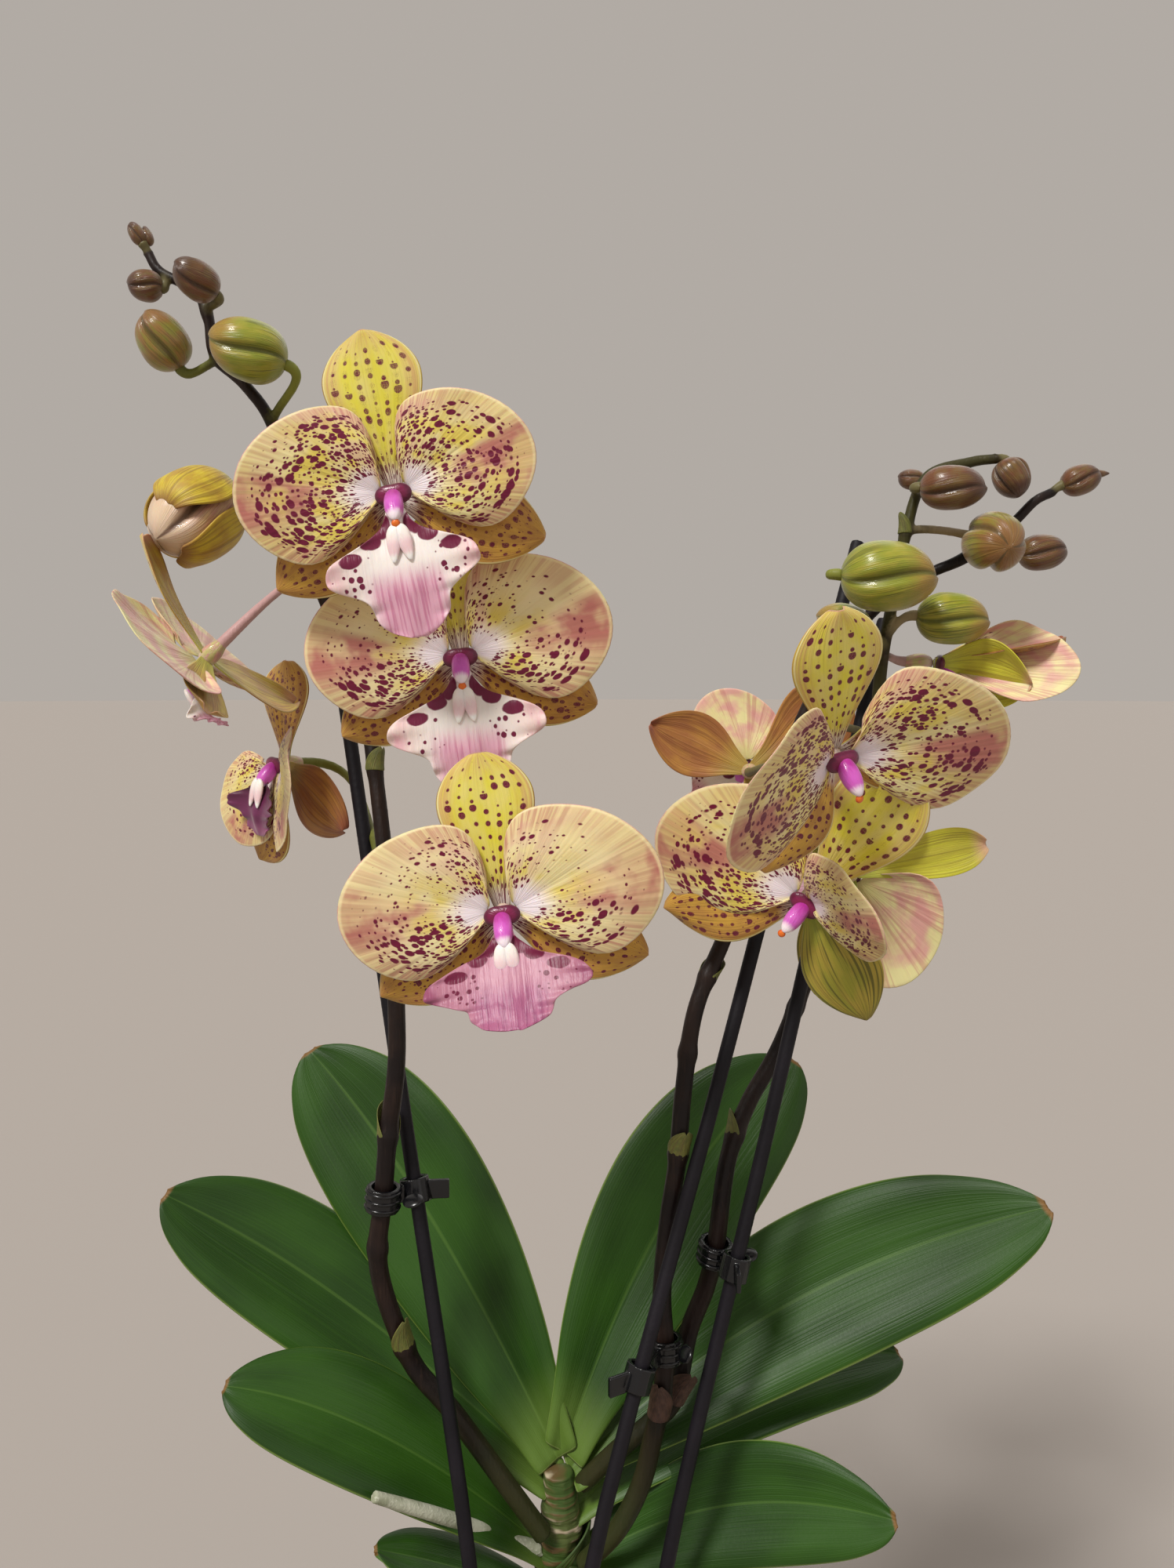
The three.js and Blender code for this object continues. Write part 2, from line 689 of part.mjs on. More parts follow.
function clipSolid({ spike, height }) {
  const curve = spikeCurve(spikes[spike]);
  const along = curveAtHeight(curve, height);
  const stemCentre = curve.getPointAt(along);
  const stemWay = curve.getTangentAt(along);
  const line = stakeCurve(stakes[spike]);
  const stakeAlong = curveAtHeight(line, height);
  const stakeWay = line.getTangentAt(stakeAlong);
  const stakeCentre = line.getPointAt(stakeAlong);
  const between = stakeCentre.clone().sub(stemCentre);
  const stemHole = (stemRadiusAt(along) + clipSlack) / Math.cos(Math.PI / clipSides);
  const stakeHole = (stakeRadius + clipSlack) / Math.cos(Math.PI / clipSides);
  const outward = between.clone().normalize();
  const bridgeLength = Math.max(between.length() - stemHole - stakeHole - clipWall, clipWall);
  const bridge = new THREE.BoxGeometry(bridgeLength, clipWall * 1.6, clipHeight * 0.7);
  bridge.rotateZ(Math.atan2(outward.y, outward.x));
  const midway = stemCentre.clone().addScaledVector(outward, stemHole + clipWall / 2 + bridgeLength / 2);
  bridge.translate(...midway.toArray());
  const tab = new THREE.BoxGeometry(tabLength, clipWall, clipHeight * 0.8);
  tab.translate(stakeHole + clipWall * 0.5 + tabLength / 2, 0, 0);
  tab.rotateZ(Math.atan2(outward.y, outward.x) - 0.5);
  tab.translate(...stakeCentre.toArray());
  const stemSpace = (place) => stemRadiusAt(place) + clipSlack;
  const stakeSpace = () => stakeRadius + clipSlack;
  const stemBore = toSolid(sweptGeometry(curve, stemSpace, clipSides, 60));
  const stakeBore = toSolid(sweptGeometry(line, stakeSpace, clipSides, 60));
  return joined([
    ringSolid(stemHole, stemCentre, stemWay),
    ringSolid(stakeHole, stakeCentre, stakeWay),
    toSolid(bridge),
    toSolid(tab),
  ]).subtract(stemBore).subtract(stakeBore);
}

// ---- Bark: a lumpy fill with a clear hole for what stands in it ----
function barkSolid() {
  const bottom = potFloor + touchGap;
  const side = (height) => (innerRadiusAt(height) - touchGap) * Math.cos(Math.PI / potSides);
  const fill = toSolid(turnedGeometry([
    [0, bottom],
    [side(bottom), bottom],
    [side(barkLevel), barkLevel],
    [side(barkLevel) * 0.55, barkLevel + 2.5],
    [0, barkLevel + 1],
  ], potSides));
  const standing = [
    crownSolid(touchGap),
    ...Object.values(stakes).map((stake) => stakeSolid(stake, touchGap)),
    ...roots.map((root) => rootSolid(root, touchGap)),
  ];
  return fill.subtract(joined(standing).translate([0, crownSetback, barkLevel]));
}

// ---- Assembly ----
addMesh(orchid, "pot", toGeometry(potSolid()), potMaterial);
addMesh(orchid, "bark", toGeometry(barkSolid()), barkMaterial);
addMesh(plant, "crown", toGeometry(crownSolid(0)), crownMaterial);

const crownSpace = crownSolid(touchGap);

for (const root of roots) {
  addMesh(plant, root.name, toGeometry(rootSolid(root, 0).subtract(crownSpace)), rootMaterial);
}
for (const leaf of leaves) {
  addMesh(plant, leaf.name, toGeometry(leafSolid(leaf).subtract(crownSpace)), leafMaterial);
}
for (const name of Object.keys(spikes)) {
  addMesh(plant, `spike_${name}`, toGeometry(spikeSolid(name).subtract(crownSpace)), stemMaterial);
  addMesh(plant, `stake_${name}`, toGeometry(stakeSolid(stakes[name], 0)), stakeMaterial);
}
for (const clip of clips) {
  addMesh(plant, clip.name, toGeometry(clipSolid(clip)), clipMaterial);
}
for (const flower of flowers) {
  const shape = { ...flowerShape, ...shapeOf[flower.name] };
  const { position, turn } = facing(flower);
  const pieces = [
    [`${flower.name}_petals`, flowerSolid(shape), petalMaterial],
    [`${flower.name}_lip`, lipSolid(shape), lipMaterial],
  ];
  for (const [name, solid, material] of pieces) {
    const mesh = addMesh(plant, name, toGeometry(solid), material);
    mesh.position.copy(position);
    mesh.quaternion.copy(turn);
  }
}
for (const bud of buds) {
  const mesh = addMesh(plant, bud.name, toGeometry(budSolid(bud.size)), budMaterial);
  mesh.position.set(...bud.at);
  mesh.quaternion.copy(pointing(bud.way));
}

export default orchid;
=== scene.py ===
import bisect
import math
import random

import bmesh
import bpy
from mathutils import Matrix, Vector, kdtree, noise


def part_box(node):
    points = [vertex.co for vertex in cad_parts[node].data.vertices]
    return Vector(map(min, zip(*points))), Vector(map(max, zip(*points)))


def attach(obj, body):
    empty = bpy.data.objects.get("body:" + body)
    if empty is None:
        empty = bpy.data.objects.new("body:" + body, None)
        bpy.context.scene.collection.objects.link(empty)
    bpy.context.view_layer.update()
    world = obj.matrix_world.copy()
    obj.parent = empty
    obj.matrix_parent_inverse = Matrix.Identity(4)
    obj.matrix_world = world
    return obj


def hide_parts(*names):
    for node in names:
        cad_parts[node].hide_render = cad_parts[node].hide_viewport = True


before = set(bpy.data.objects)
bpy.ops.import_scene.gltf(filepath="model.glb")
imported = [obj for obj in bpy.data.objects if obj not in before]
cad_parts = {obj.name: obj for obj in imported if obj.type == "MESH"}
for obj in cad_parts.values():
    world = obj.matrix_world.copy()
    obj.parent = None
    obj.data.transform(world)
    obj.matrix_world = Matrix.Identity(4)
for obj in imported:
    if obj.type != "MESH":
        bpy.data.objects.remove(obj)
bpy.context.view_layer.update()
scene = bpy.context.scene
mm = 0.001
plantFoot = Vector((0, 0.020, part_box("pot")[1].z - 0.014))  # where the crown stands, on the bark


class Wire:
    # a shader socket that Python's arithmetic works on
    def __init__(self, finish, socket):
        self.finish = finish
        self.socket = socket

    def maths(self, operation, first, second=0.0):
        return self.finish.add("ShaderNodeMath", {"operation": operation}, {0: first, 1: second})

    def also(self, output):
        return Wire(self.finish, self.socket.node.outputs[output])

    def __add__(self, other):
        return self.maths("ADD", self, other)

    def __radd__(self, other):
        return self.maths("ADD", other, self)

    def __sub__(self, other):
        return self.maths("SUBTRACT", self, other)

    def __rsub__(self, other):
        return self.maths("SUBTRACT", other, self)

    def __mul__(self, other):
        return self.maths("MULTIPLY", self, other)

    def __rmul__(self, other):
        return self.maths("MULTIPLY", other, self)

    def __truediv__(self, other):
        return self.maths("DIVIDE", self, other)

    def __pow__(self, other):
        return self.maths("POWER", self, other)

    def __abs__(self):
        return self.maths("ABSOLUTE", self)

    def most(self, other):
        return self.maths("MAXIMUM", self, other)

    def between(self, low, high):
        # 0 up to low and 1 from high on, smooth in the middle
        return self.finish.add("ShaderNodeMapRange", {"interpolation_type": "SMOOTHSTEP"},
                               {0: self, 1: low, 2: high, 3: 0.0, 4: 1.0})

    def toward(self, factor, shade):
        return self.finish.blend(factor, self, shade)


class Finish:
    def __init__(self, name, fixed):
        self.material = bpy.data.materials.new(name)
        self.material.use_nodes = True
        self.tree = self.material.node_tree
        self.shader = self.tree.nodes["Principled BSDF"]
        self.feed(self.shader, fixed)

    def feed(self, node, sockets):
        for name, value in sockets.items():
            if isinstance(value, Wire):
                self.tree.links.new(value.socket, node.inputs[name])
            else:
                node.inputs[name].default_value = value

    def add(self, kind, settings, sockets, output=0):
        node = self.tree.nodes.new(kind)
        for name, value in settings.items():
            setattr(node, name, value)
        self.feed(node, sockets)
        return Wire(self, node.outputs[output])

    def wear(self, **sockets):
        self.feed(self.shader, {name.replace("_", " "): value for name, value in sockets.items()})
        return self

    # short ways to the nodes used most
    def growth(self):
        return self.split(self.add("ShaderNodeAttribute", {"attribute_name": "growth"}, {}, "Vector"))

    def place(self):
        return self.add("ShaderNodeTexCoord", {}, {}, "Object")

    def split(self, vector):
        parts = self.add("ShaderNodeSeparateXYZ", {}, {0: vector})
        return parts, parts.also(1), parts.also(2)

    def join(self, x, y, z):
        return self.add("ShaderNodeCombineXYZ", {}, {0: x, 1: y, 2: z})

    def noise(self, vector, scale, detail):
        return self.add("ShaderNodeTexNoise", {}, {"Vector": vector, "Scale": scale, "Detail": detail})

    def blend(self, factor, first, second):
        # the second shade over the first, each a socket or a hex code
        first, second = (tint(shade) if isinstance(shade, str) else shade for shade in (first, second))
        return self.add("ShaderNodeMix", {"data_type": "RGBA"}, {0: factor, 6: first, 7: second}, 2)

    def bump(self, height, distance, strength):
        return self.add("ShaderNodeBump", {}, {"Height": height, "Distance": distance,
                                               "Strength": strength})


def tint(code):
    parts = [int(code[at:at + 2], 16) / 255 for at in (0, 2, 4)]
    return tuple(((part + 0.055) / 1.055) ** 2.4 for part in parts) + (1.0,)


tissue = {"Subsurface Weight": 0.18, "Subsurface Radius": (0.6, 0.35, 0.2), "Subsurface Scale": 0.002,
          "Specular IOR Level": 0.35, "Sheen Weight": 0.15}


def spots(finish, along, across, size, density, seed):
    # round spots: 1 inside a spot, 0 outside
    place = finish.join(along, across, seed * 7.3)
    cell = finish.add("ShaderNodeTexVoronoi", {}, {"Vector": place, "Scale": 1.0, "Randomness": 0.8})
    chance = finish.split(cell.also("Color"))[0]
    radius = size * (0.36 + chance * 0.8) * density
    return 1 - (cell - radius).between(-0.05, 0.05)


petalLook = {"cream": "e6d89c", "yellow": "dfcb5c", "pale": "eedcb2", "blush": "b1625e", "rose": "cf8c88",
             "claw": "f1e4e8", "edge": "ecdcaa", "spot": "6c0030"}


def petalFinish(look):
    finish = Finish("petalFace", {**tissue, "Roughness": 0.46})
    along, across, seed = finish.growth()
    vigour = seed.maths("FRACT", seed)
    cloud = finish.noise(finish.join(along * 2.6, across * 2.6, seed), 1.5, 3.0)
    streak = finish.noise(finish.join(along * 1.2, across * 46, seed), 1.0, 2.0)
    below = 0 - across
    low = below.between(0.14, 0.46)
    upper = across.between(0.12, 0.6)
    ground = finish.blend(cloud.between(0.36, 0.6), look["yellow"], look["cream"])
    ground = ground.toward((1 - vigour.between(0.45, 0.7)) * along.between(0.3, 0.7) * 0.75, look["pale"])
    ground = ground.toward(along.between(0.55, 0.95) * 0.7, look["cream"])
    # a pink band under the midline crease: the petal's own blush, with painted shade of the crease in it
    blushAndShadeBand = below.between(0.0, 0.1) * (1 - below.between(0.26, 0.5)) * along.between(0.25, 0.55)
    ground = ground.toward(blushAndShadeBand * (0.25 + cloud.between(0.4, 0.6) * 0.65), look["blush"])
    edge = along.between(0.66, 0.86) * (0.25 + streak.between(0.4, 0.6) * 0.75)
    ground = ground.toward(edge * (0.35 + 0.4 * abs(across).between(0.2, 0.8)), look["blush"])
    ground = ground.toward(upper * cloud.between(0.45, 0.62) * 0.4, look["rose"])
    ground = ground.toward((1 - along.between(0.13, 0.34)) * (1 - abs(across).between(0.5, 1.0)),
                           look["claw"])
    ground = ground.toward(along.between(0.962, 0.985) * 0.7, look["edge"])
    inside = (1 - along.between(0.82, 0.95)) * along.between(0.12, 0.2)
    dense = 0.52 + upper * (1.15 - along) * 0.8 + low * 0.7 + vigour.between(0.6, 0.95) * 0.3
    dense = dense * inside * (0.72 + vigour * 0.55)
    dense = dense.maths("MINIMUM", dense, 1.15)
    large = spots(finish, along * 14, across * 11, 0.4, dense, seed)
    small = spots(finish, along * 25, across * 20, 0.38, dense, seed + 3)
    mark = large.most(small)
    colour = ground.toward(mark, look["spot"])
    ribs = finish.noise(finish.join(along, across * 26, seed), 1.0, 1.0)
    return finish.wear(Base_Color=colour, Roughness=0.5 - mark * 0.1,
                       Normal=finish.bump(ribs + cloud * 0.6, 0.0006, 0.5))


def petalBackFinish():
    finish = Finish("petalBack", {**tissue, "Roughness": 0.55})
    along, across, seed = finish.growth()
    cloud = finish.noise(finish.join(along * 3, across * 2, seed), 1.5, 3.0)
    streak = finish.noise(finish.join(along, across * 22, seed), 1.0, 2.0)
    ground = finish.blend(cloud.between(0.35, 0.65), "e4dca0", "dba79c")
    ground = ground.toward(streak.between(0.5, 0.62) * 0.5, "bf7c78")
    ground = ground.toward((1 - along.between(0.05, 0.4)) * 0.8, "c9c27a")
    return finish.wear(Base_Color=ground, Normal=finish.bump(streak, 0.0006, 0.6))


# "rim" is how strong the edge is, "fine" how many small spots lie between the rows
dorsalLook = {"ground": "dad03e", "shade": "ddd070", "edge": "c79a66", "rim": 0.8, "rows": 4,
              "spotSize": 0.9, "fine": 0.1}
lateralLook = {"ground": "d0a440", "shade": "ba8a42", "edge": "93602c", "rim": 0.6, "rows": 4,
               "spotSize": 1.0, "fine": 0.7}


def sepalFinish(name, look):
    finish = Finish(name, {**tissue, "Roughness": 0.45})
    along, across, seed = finish.growth()
    cloud = finish.noise(finish.join(along * 3, across * 2, seed), 1.7, 3.0)
    streak = finish.noise(finish.join(along, across * 18, seed), 1.0, 2.0)
    ground = finish.blend(cloud.between(0.3, 0.7), look["ground"], look["shade"])
    edge = abs(across).between(0.5, 0.9).most(along.between(0.78, 0.97) * 0.8)
    ground = ground.toward(edge * (0.3 + streak.between(0.35, 0.6) * 0.7) * look["rim"], look["edge"])
    ground = ground.toward(abs(across).between(0.93, 0.98), "e3d999")
    ground = ground.toward(1 - along.between(0.06, 0.2), "efe2d8")
    # rows of spots: even across, uneven along
    lane = across * look["rows"] + 0.5
    lead = finish.add("ShaderNodeTexWhiteNoise", {"noise_dimensions": "1D"},
                      {"W": lane.maths("FLOOR", lane) + seed})
    row = finish.add("ShaderNodeTexVoronoi", {"voronoi_dimensions": "1D"},
                     {"W": along * 13 + lead * 31, "Scale": 1.0, "Randomness": 0.9})
    chance = finish.split(row.also("Color"))[0]
    side = (lane.maths("FRACT", lane) - 0.5) * (12.5 / look["rows"])
    away = (side * side + row * row * 9.0) ** 0.5
    inside = (1 - along.between(0.86, 0.97)) * along.between(0.03, 0.1)
    inside = inside * (1 - abs(across).between(0.86, 1.0))
    mark = 1 - (away - (0.25 + chance) * look["spotSize"] * inside).between(-0.14, 0.1)
    small = spots(finish, along * 24, across * 9, 0.3, inside * look["fine"], seed + 2)
    base = (1 - along.between(0.1, 0.26)) * streak.between(0.52, 0.57)
    mark = mark.most(small).most(base)
    colour = ground.toward(mark, "6a0a2e")
    return finish.wear(Base_Color=colour, Roughness=0.48 - mark * 0.08,
                       Normal=finish.bump(streak + cloud * 0.5, 0.0006, 0.5))


rearLook = {"ground": "c9b03e", "shade": "b4883a", "vein": "84552f", "foot": "bdc255", "end": "c99a80",
            "veins": 0.45}
greenLook = {"ground": "cbc93a", "shade": "bdb53c", "vein": "8b7a2c", "foot": "c8d05a", "end": "d9a898",
             "veins": 0.5}
veinedLook = {"ground": "94912c", "shade": "a89438", "vein": "5f5a1c", "foot": "9aa83a", "end": "8a7a30",
              "veins": 0.9}
# orange-brown sepal backs; on flower_left_5's lowest sepal the same brown is painted shade
brownAndShadeLook = {"ground": "b3803c", "shade": "a0683a", "vein": "7d4a2a", "foot": "b3a048", "end": "96523c",
            "veins": 0.5}


def sepalBackFinish(name, look):
    finish = Finish(name, {**tissue, "Roughness": 0.5})
    along, across, seed = finish.growth()
    cloud = finish.noise(finish.join(along * 3, across * 2, seed), 1.3, 3.0)
    streak = finish.noise(finish.join(along, across * 14, seed), 1.0, 2.0)
    ground = finish.blend(cloud.between(0.35, 0.65), look["ground"], look["shade"])
    ground = ground.toward(streak.between(0.5, 0.62) * look["veins"], look["vein"])
    ground = ground.toward((1 - along.between(0.05, 0.35)) * 0.7, look["foot"])
    ground = ground.toward(along.between(0.86, 1.0) * 0.8, look["end"])
    return finish.wear(Base_Color=ground, Normal=finish.bump(streak, 0.0007, 0.6))


# how far to the side and down each blotch is, and half its size that way
lipBlots = ((0.2, 0.16, 0.14, 0.1), (0.34, 0.26, 0.13, 0.065), (0.6, 0.37, 0.14, 0.055))
lipLook = {"ground": "efe6e0", "wing": "e8cfc8", "middle": "dca0b8", "vein": "b4527f", "edge": "d994a6"}
# the lip's colours made darker and duller: painted shade for the lip of flower_left_3, which hangs in
# shadow
lipInShadowLook = {"ground": "b98094", "wing": "ad7186", "middle": "a55a80", "vein": "7a2c5a", "edge": "8c3c62"}


def lipFinish(name, look):
    finish = Finish(name, {**tissue, "Roughness": 0.4})
    down, side, seed = finish.growth()
    wide = abs(side)
    cloud = finish.noise(finish.join(down * 4, side * 4, seed), 1.5, 3.0)
    veins = finish.noise(finish.join(down * 2, side * 26, seed), 1.0, 2.0)
    ground = finish.blend(wide.between(0.3, 0.9), look["ground"], look["wing"])
    middle = down.between(0.42, 0.66) * (1 - wide.between(0.28, 0.56))
    ground = ground.toward(middle * 0.9, look["middle"])
    ground = ground.toward(middle * veins.between(0.46, 0.64) * 0.55, look["vein"])
    edge = wide.between(0.6, 0.98) * cloud.between(0.3, 0.6)
    ground = ground.toward(edge * 0.85, look["edge"])
    wings = wide.between(0.2, 0.36) * (1 - wide.between(0.7, 0.9)) * down.between(0.3, 0.4)
    wings = wings * (1 - down.between(0.6, 0.68))
    mark = spots(finish, down * 17, side * 12, 0.42, wings, seed)
    for acrossAt, downAt, acrossSize, downSize in lipBlots:
        off = ((wide - acrossAt) / acrossSize) ** 2 + ((down - downAt) / downSize) ** 2
        mark = mark.most(1 - (off + cloud * 0.9).between(1.2, 1.5))
    colour = ground.toward(mark, "6d0f38")
    return finish.wear(Base_Color=colour, Normal=finish.bump(veins + cloud, 0.0005, 0.5))


def columnFinish(name, nose, body, deep):
    finish = Finish(name, {**tissue, "Roughness": 0.33, "Coat Weight": 0.2})
    along, turn, seed = finish.growth()
    cloud = finish.noise(finish.join(along * 3, turn * 3, seed), 1.5, 2.0)
    colour = finish.blend((along + cloud * 0.3).between(0.35, 0.75), body, deep)
    colour = colour.toward((along + cloud * 0.1).between(0.78, 0.95), nose)
    return finish.wear(Base_Color=colour, Normal=finish.bump(cloud, 0.0005, 0.4))


def budFinish(name, look):
    finish = Finish(name, {**tissue, "Roughness": 0.3, "Coat Weight": 0.15})
    along, turn, seed = finish.growth()
    cloud = finish.noise(finish.join(along * 3, turn * 3, seed), 1.4, 3.0)
    lines = finish.noise(finish.join(along * 1.2, turn * 24, seed), 1.0, 2.0)
    colour = finish.blend(cloud.between(0.35, 0.65), look["ground"], look["shade"])
    colour = colour.toward(lines.between(0.54, 0.64) * look["veins"], look["line"])
    colour = colour.toward((along + cloud * 0.25).between(0.72, 1.05) * 0.8, look["tip"])
    colour = colour.toward((1 - turn.between(0.06, 0.3)) * look.get("seam", 0.8), look["line"])
    return finish.wear(Base_Color=colour, Normal=finish.bump(lines + cloud * 0.5, 0.0006, 0.5))


print("flower finishes")
petalFace = petalFinish(petalLook)
petalRear = petalBackFinish()
dorsalFace = sepalFinish("dorsalFace", dorsalLook)
lateralFace = sepalFinish("lateralFace", lateralLook)
sepalRear = sepalBackFinish("sepalBack", rearLook)
greenRear = sepalBackFinish("greenBack", greenLook)
veinedRear = sepalBackFinish("veinedBack", veinedLook)
brownAndShadeRear = sepalBackFinish("brownAndShadeBack", brownAndShadeLook)
lipFace = lipFinish("lipFace", lipLook)
lipInShadow = lipFinish("lipInShadow", lipInShadowLook)
columnFace = columnFinish("columnFace", "f6e6ee", "b02a94", "cf5cc0")
throatFace = columnFinish("throatFace", "7c1446", "4c0828", "5e0c34")
callusFace = columnFinish("callusFace", "fdfaf4", "f8efe8", "efcfd2")
# a dark mauve lip for flower_left_5: painted shade for a flower that hangs in shadow
darkLipInShade = columnFinish("darkLipInShade", "8d4a70", "4a1230", "6a2450")
pollenFace = columnFinish("pollenFace", "e8731c", "e8731c", "d65a12")
hubFace = budFinish("hubFace", {"ground": "c6c07a", "shade": "cf9a8c", "line": "a8707a", "tip": "e6cbc0",
                                "veins": 0.4, "seam": 0})
greenBud = budFinish("greenBud", {"ground": "8a9028", "shade": "a09a34", "line": "565a18", "tip": "a07a34",
                                  "veins": 0.75})
oliveBud = budFinish("oliveBud", {"ground": "8a8430", "shade": "97743a", "line": "54431c", "tip": "86592f",
                                  "veins": 0.6})
openBud = budFinish("openBud", {"ground": "d3b184", "shade": "c08a78", "line": "54301f", "tip": "e2cbb0",
                                "veins": 0.35})
hoodFace = sepalBackFinish("hoodFace", {"ground": "cbb42c", "shade": "b3902c", "vein": "7c5a22",
                                        "foot": "9a9430", "end": "8a5a30",
                                        "veins": 0.5})
brownBud = budFinish("brownBud", {"ground": "6e5428", "shade": "6c4226", "line": "402616", "tip": "4b2c1e",
                                  "veins": 0.5})


def readTable(table, at):
    # a smooth curve through the pairs of a table
    places = [pair[0] for pair in table]
    at = min(max(at, places[0]), places[-1])
    step = min(max(bisect.bisect_right(places, at) - 1, 0), len(table) - 2)

    def slope(index):
        before, after = max(index - 1, 0), min(index + 1, len(table) - 1)
        return (table[after][1] - table[before][1]) / (places[after] - places[before])

    width = places[step + 1] - places[step]
    t = (at - places[step]) / width
    low, high = table[step][1], table[step + 1][1]
    return ((2 * t ** 3 - 3 * t ** 2 + 1) * low + (t ** 3 - 2 * t ** 2 + t) * width * slope(step)
            + (3 * t ** 2 - 2 * t ** 3) * high + (t ** 3 - t ** 2) * width * slope(step + 1))


def newMesh():
    bm = bmesh.new()
    bm.verts.layers.float_vector.new("growth")
    return bm


def addSheet(bm, shape, form, seed, place, finishes):
    # a grid bent to shape(along, across), given in mm with its growth marks, then made thick
    growth = bm.verts.layers.float_vector["growth"]
    first = len(bm.faces)
    made = bmesh.ops.create_grid(bm, x_segments=form["columns"], y_segments=form["rows"], size=1)["verts"]
    for vert in made:
        spot, mark = shape((vert.co.y + 1) / 2, vert.co.x)
        vert[growth] = (*mark, seed)
        vert.co = place @ (Vector(spot) * mm)
    bm.faces.ensure_lookup_table()
    front = bm.faces[first:]
    bm.normal_update()
    bmesh.ops.solidify(bm, geom=front, thickness=form["thick"] * mm)
    bm.faces.ensure_lookup_table()
    for face in bm.faces[first:]:
        face.smooth = True
        face.material_index = finishes[1]
    for face in front:
        face.material_index = finishes[0]


def addBlob(bm, shape, seed, place, finish, sides=24, rings=14):
    # a closed round body whose surface is shape(unit point), in mm
    growth = bm.verts.layers.float_vector["growth"]
    first = len(bm.faces)
    made = bmesh.ops.create_uvsphere(bm, u_segments=sides, v_segments=rings, radius=1)["verts"]
    for vert in made:
        unit = vert.co.copy()
        vert[growth] = ((unit.z + 1) / 2, abs(math.sin(1.5 * (math.atan2(unit.y, unit.x) + 0.35 * unit.z))),
                        seed)
        vert.co = place @ (Vector(shape(unit)) * mm)
    bm.faces.ensure_lookup_table()
    for face in bm.faces[first:]:
        face.smooth = True
        face.material_index = finish


def newObject(name, bm):
    mesh = bpy.data.meshes.new(name)
    bm.to_mesh(mesh)
    bm.free()
    piece = bpy.data.objects.new(name, mesh)
    scene.collection.objects.link(piece)
    return piece


def solvedMesh(piece):
    # the piece's mesh with its modifiers worked out
    bpy.context.view_layer.update()
    return bpy.data.meshes.new_from_object(piece.evaluated_get(bpy.context.evaluated_depsgraph_get()))


def settle(piece, finishes, nodes):
    for finish in finishes:
        piece.data.materials.append(finish.material)
    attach(piece, "root")
    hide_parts(*nodes)


def addPiece(bm, name, finishes, nodes):
    bm.normal_update()
    piece = newObject(name, bm)
    rounded = piece.modifiers.new("rounded", "SUBSURF")
    rounded.levels = rounded.render_levels = 1
    settle(piece, finishes, nodes)


def turnTo(way):
    # the turn that brings Z to point this way
    return Vector((0, 0, 1)).rotation_difference(Vector(way).normalized()).to_matrix().to_4x4()


def about(axis, degrees):
    return Matrix.Rotation(math.radians(degrees), 4, axis)


def moved(x, y, z):
    # a move given in mm
    return Matrix.Translation(Vector((x, y, z)) * mm)


petalForm = {
    "claw": 4.3, "thick": 0.5, "rows": 18, "columns": 20,
    "reach": [(-76, 7), (-74, 11), (-69, 19), (-62, 27), (-53, 31.8), (-42, 36), (-30, 40), (-18, 42.5),
              (-6, 42),
              (6, 39.5), (18, 36.5), (32, 32.5), (46, 29.2), (58, 26), (67, 21.5), (74, 14), (78, 8)],
}
petalStance = {"raise": 22, "twist": 0, "reach": 1}  # where a flower gives its petal no other
sepalForm = {
    "start": 1.5, "length": 45, "thick": 0.55, "rows": 16, "columns": 10,
    "width": [(0, 2.4), (0.15, 4.2), (0.3, 7.4), (0.45, 11.2), (0.6, 14), (0.74, 14.2), (0.86, 11.4),
              (0.94, 7.6), (1, 2.2)],
    "slimWidth": [(0, 2.4), (0.15, 3.8), (0.3, 5.6), (0.45, 7.4), (0.6, 8.6), (0.74, 8.8), (0.86, 7.6),
                  (0.94, 5.4), (1, 2)],
    "sideWidth": [(0, 2.6), (0.15, 5.5), (0.3, 9.5), (0.45, 12.2), (0.6, 12.6), (0.74, 10.8), (0.86, 7.6),
                  (0.94, 4.4), (1, 1)],
}
lipForm = {
    "thick": 0.45, "rows": 26, "columns": 22, "start": 2.5,
    "width": [(0, 2.6), (3, 3), (8, 7), (11, 14), (14, 21), (18, 23.5), (21, 22.5), (24, 16.5), (26, 12.8),
              (28.5, 11.8),
              (31.5, 11.2), (34.5, 9), (36.8, 5.5), (38, 2)],
}
# a sepal is its angle, how it leans forward, how long it is, its widths, and where its front and
# its back stand in bloomFinishes
top = (0, 0, 1, "width", 2, 3)
usual = (top, (116, 0, 0.94, "sideWidth", 4, 3), (-116, 0, 0.94, "sideWidth", 4, 3))
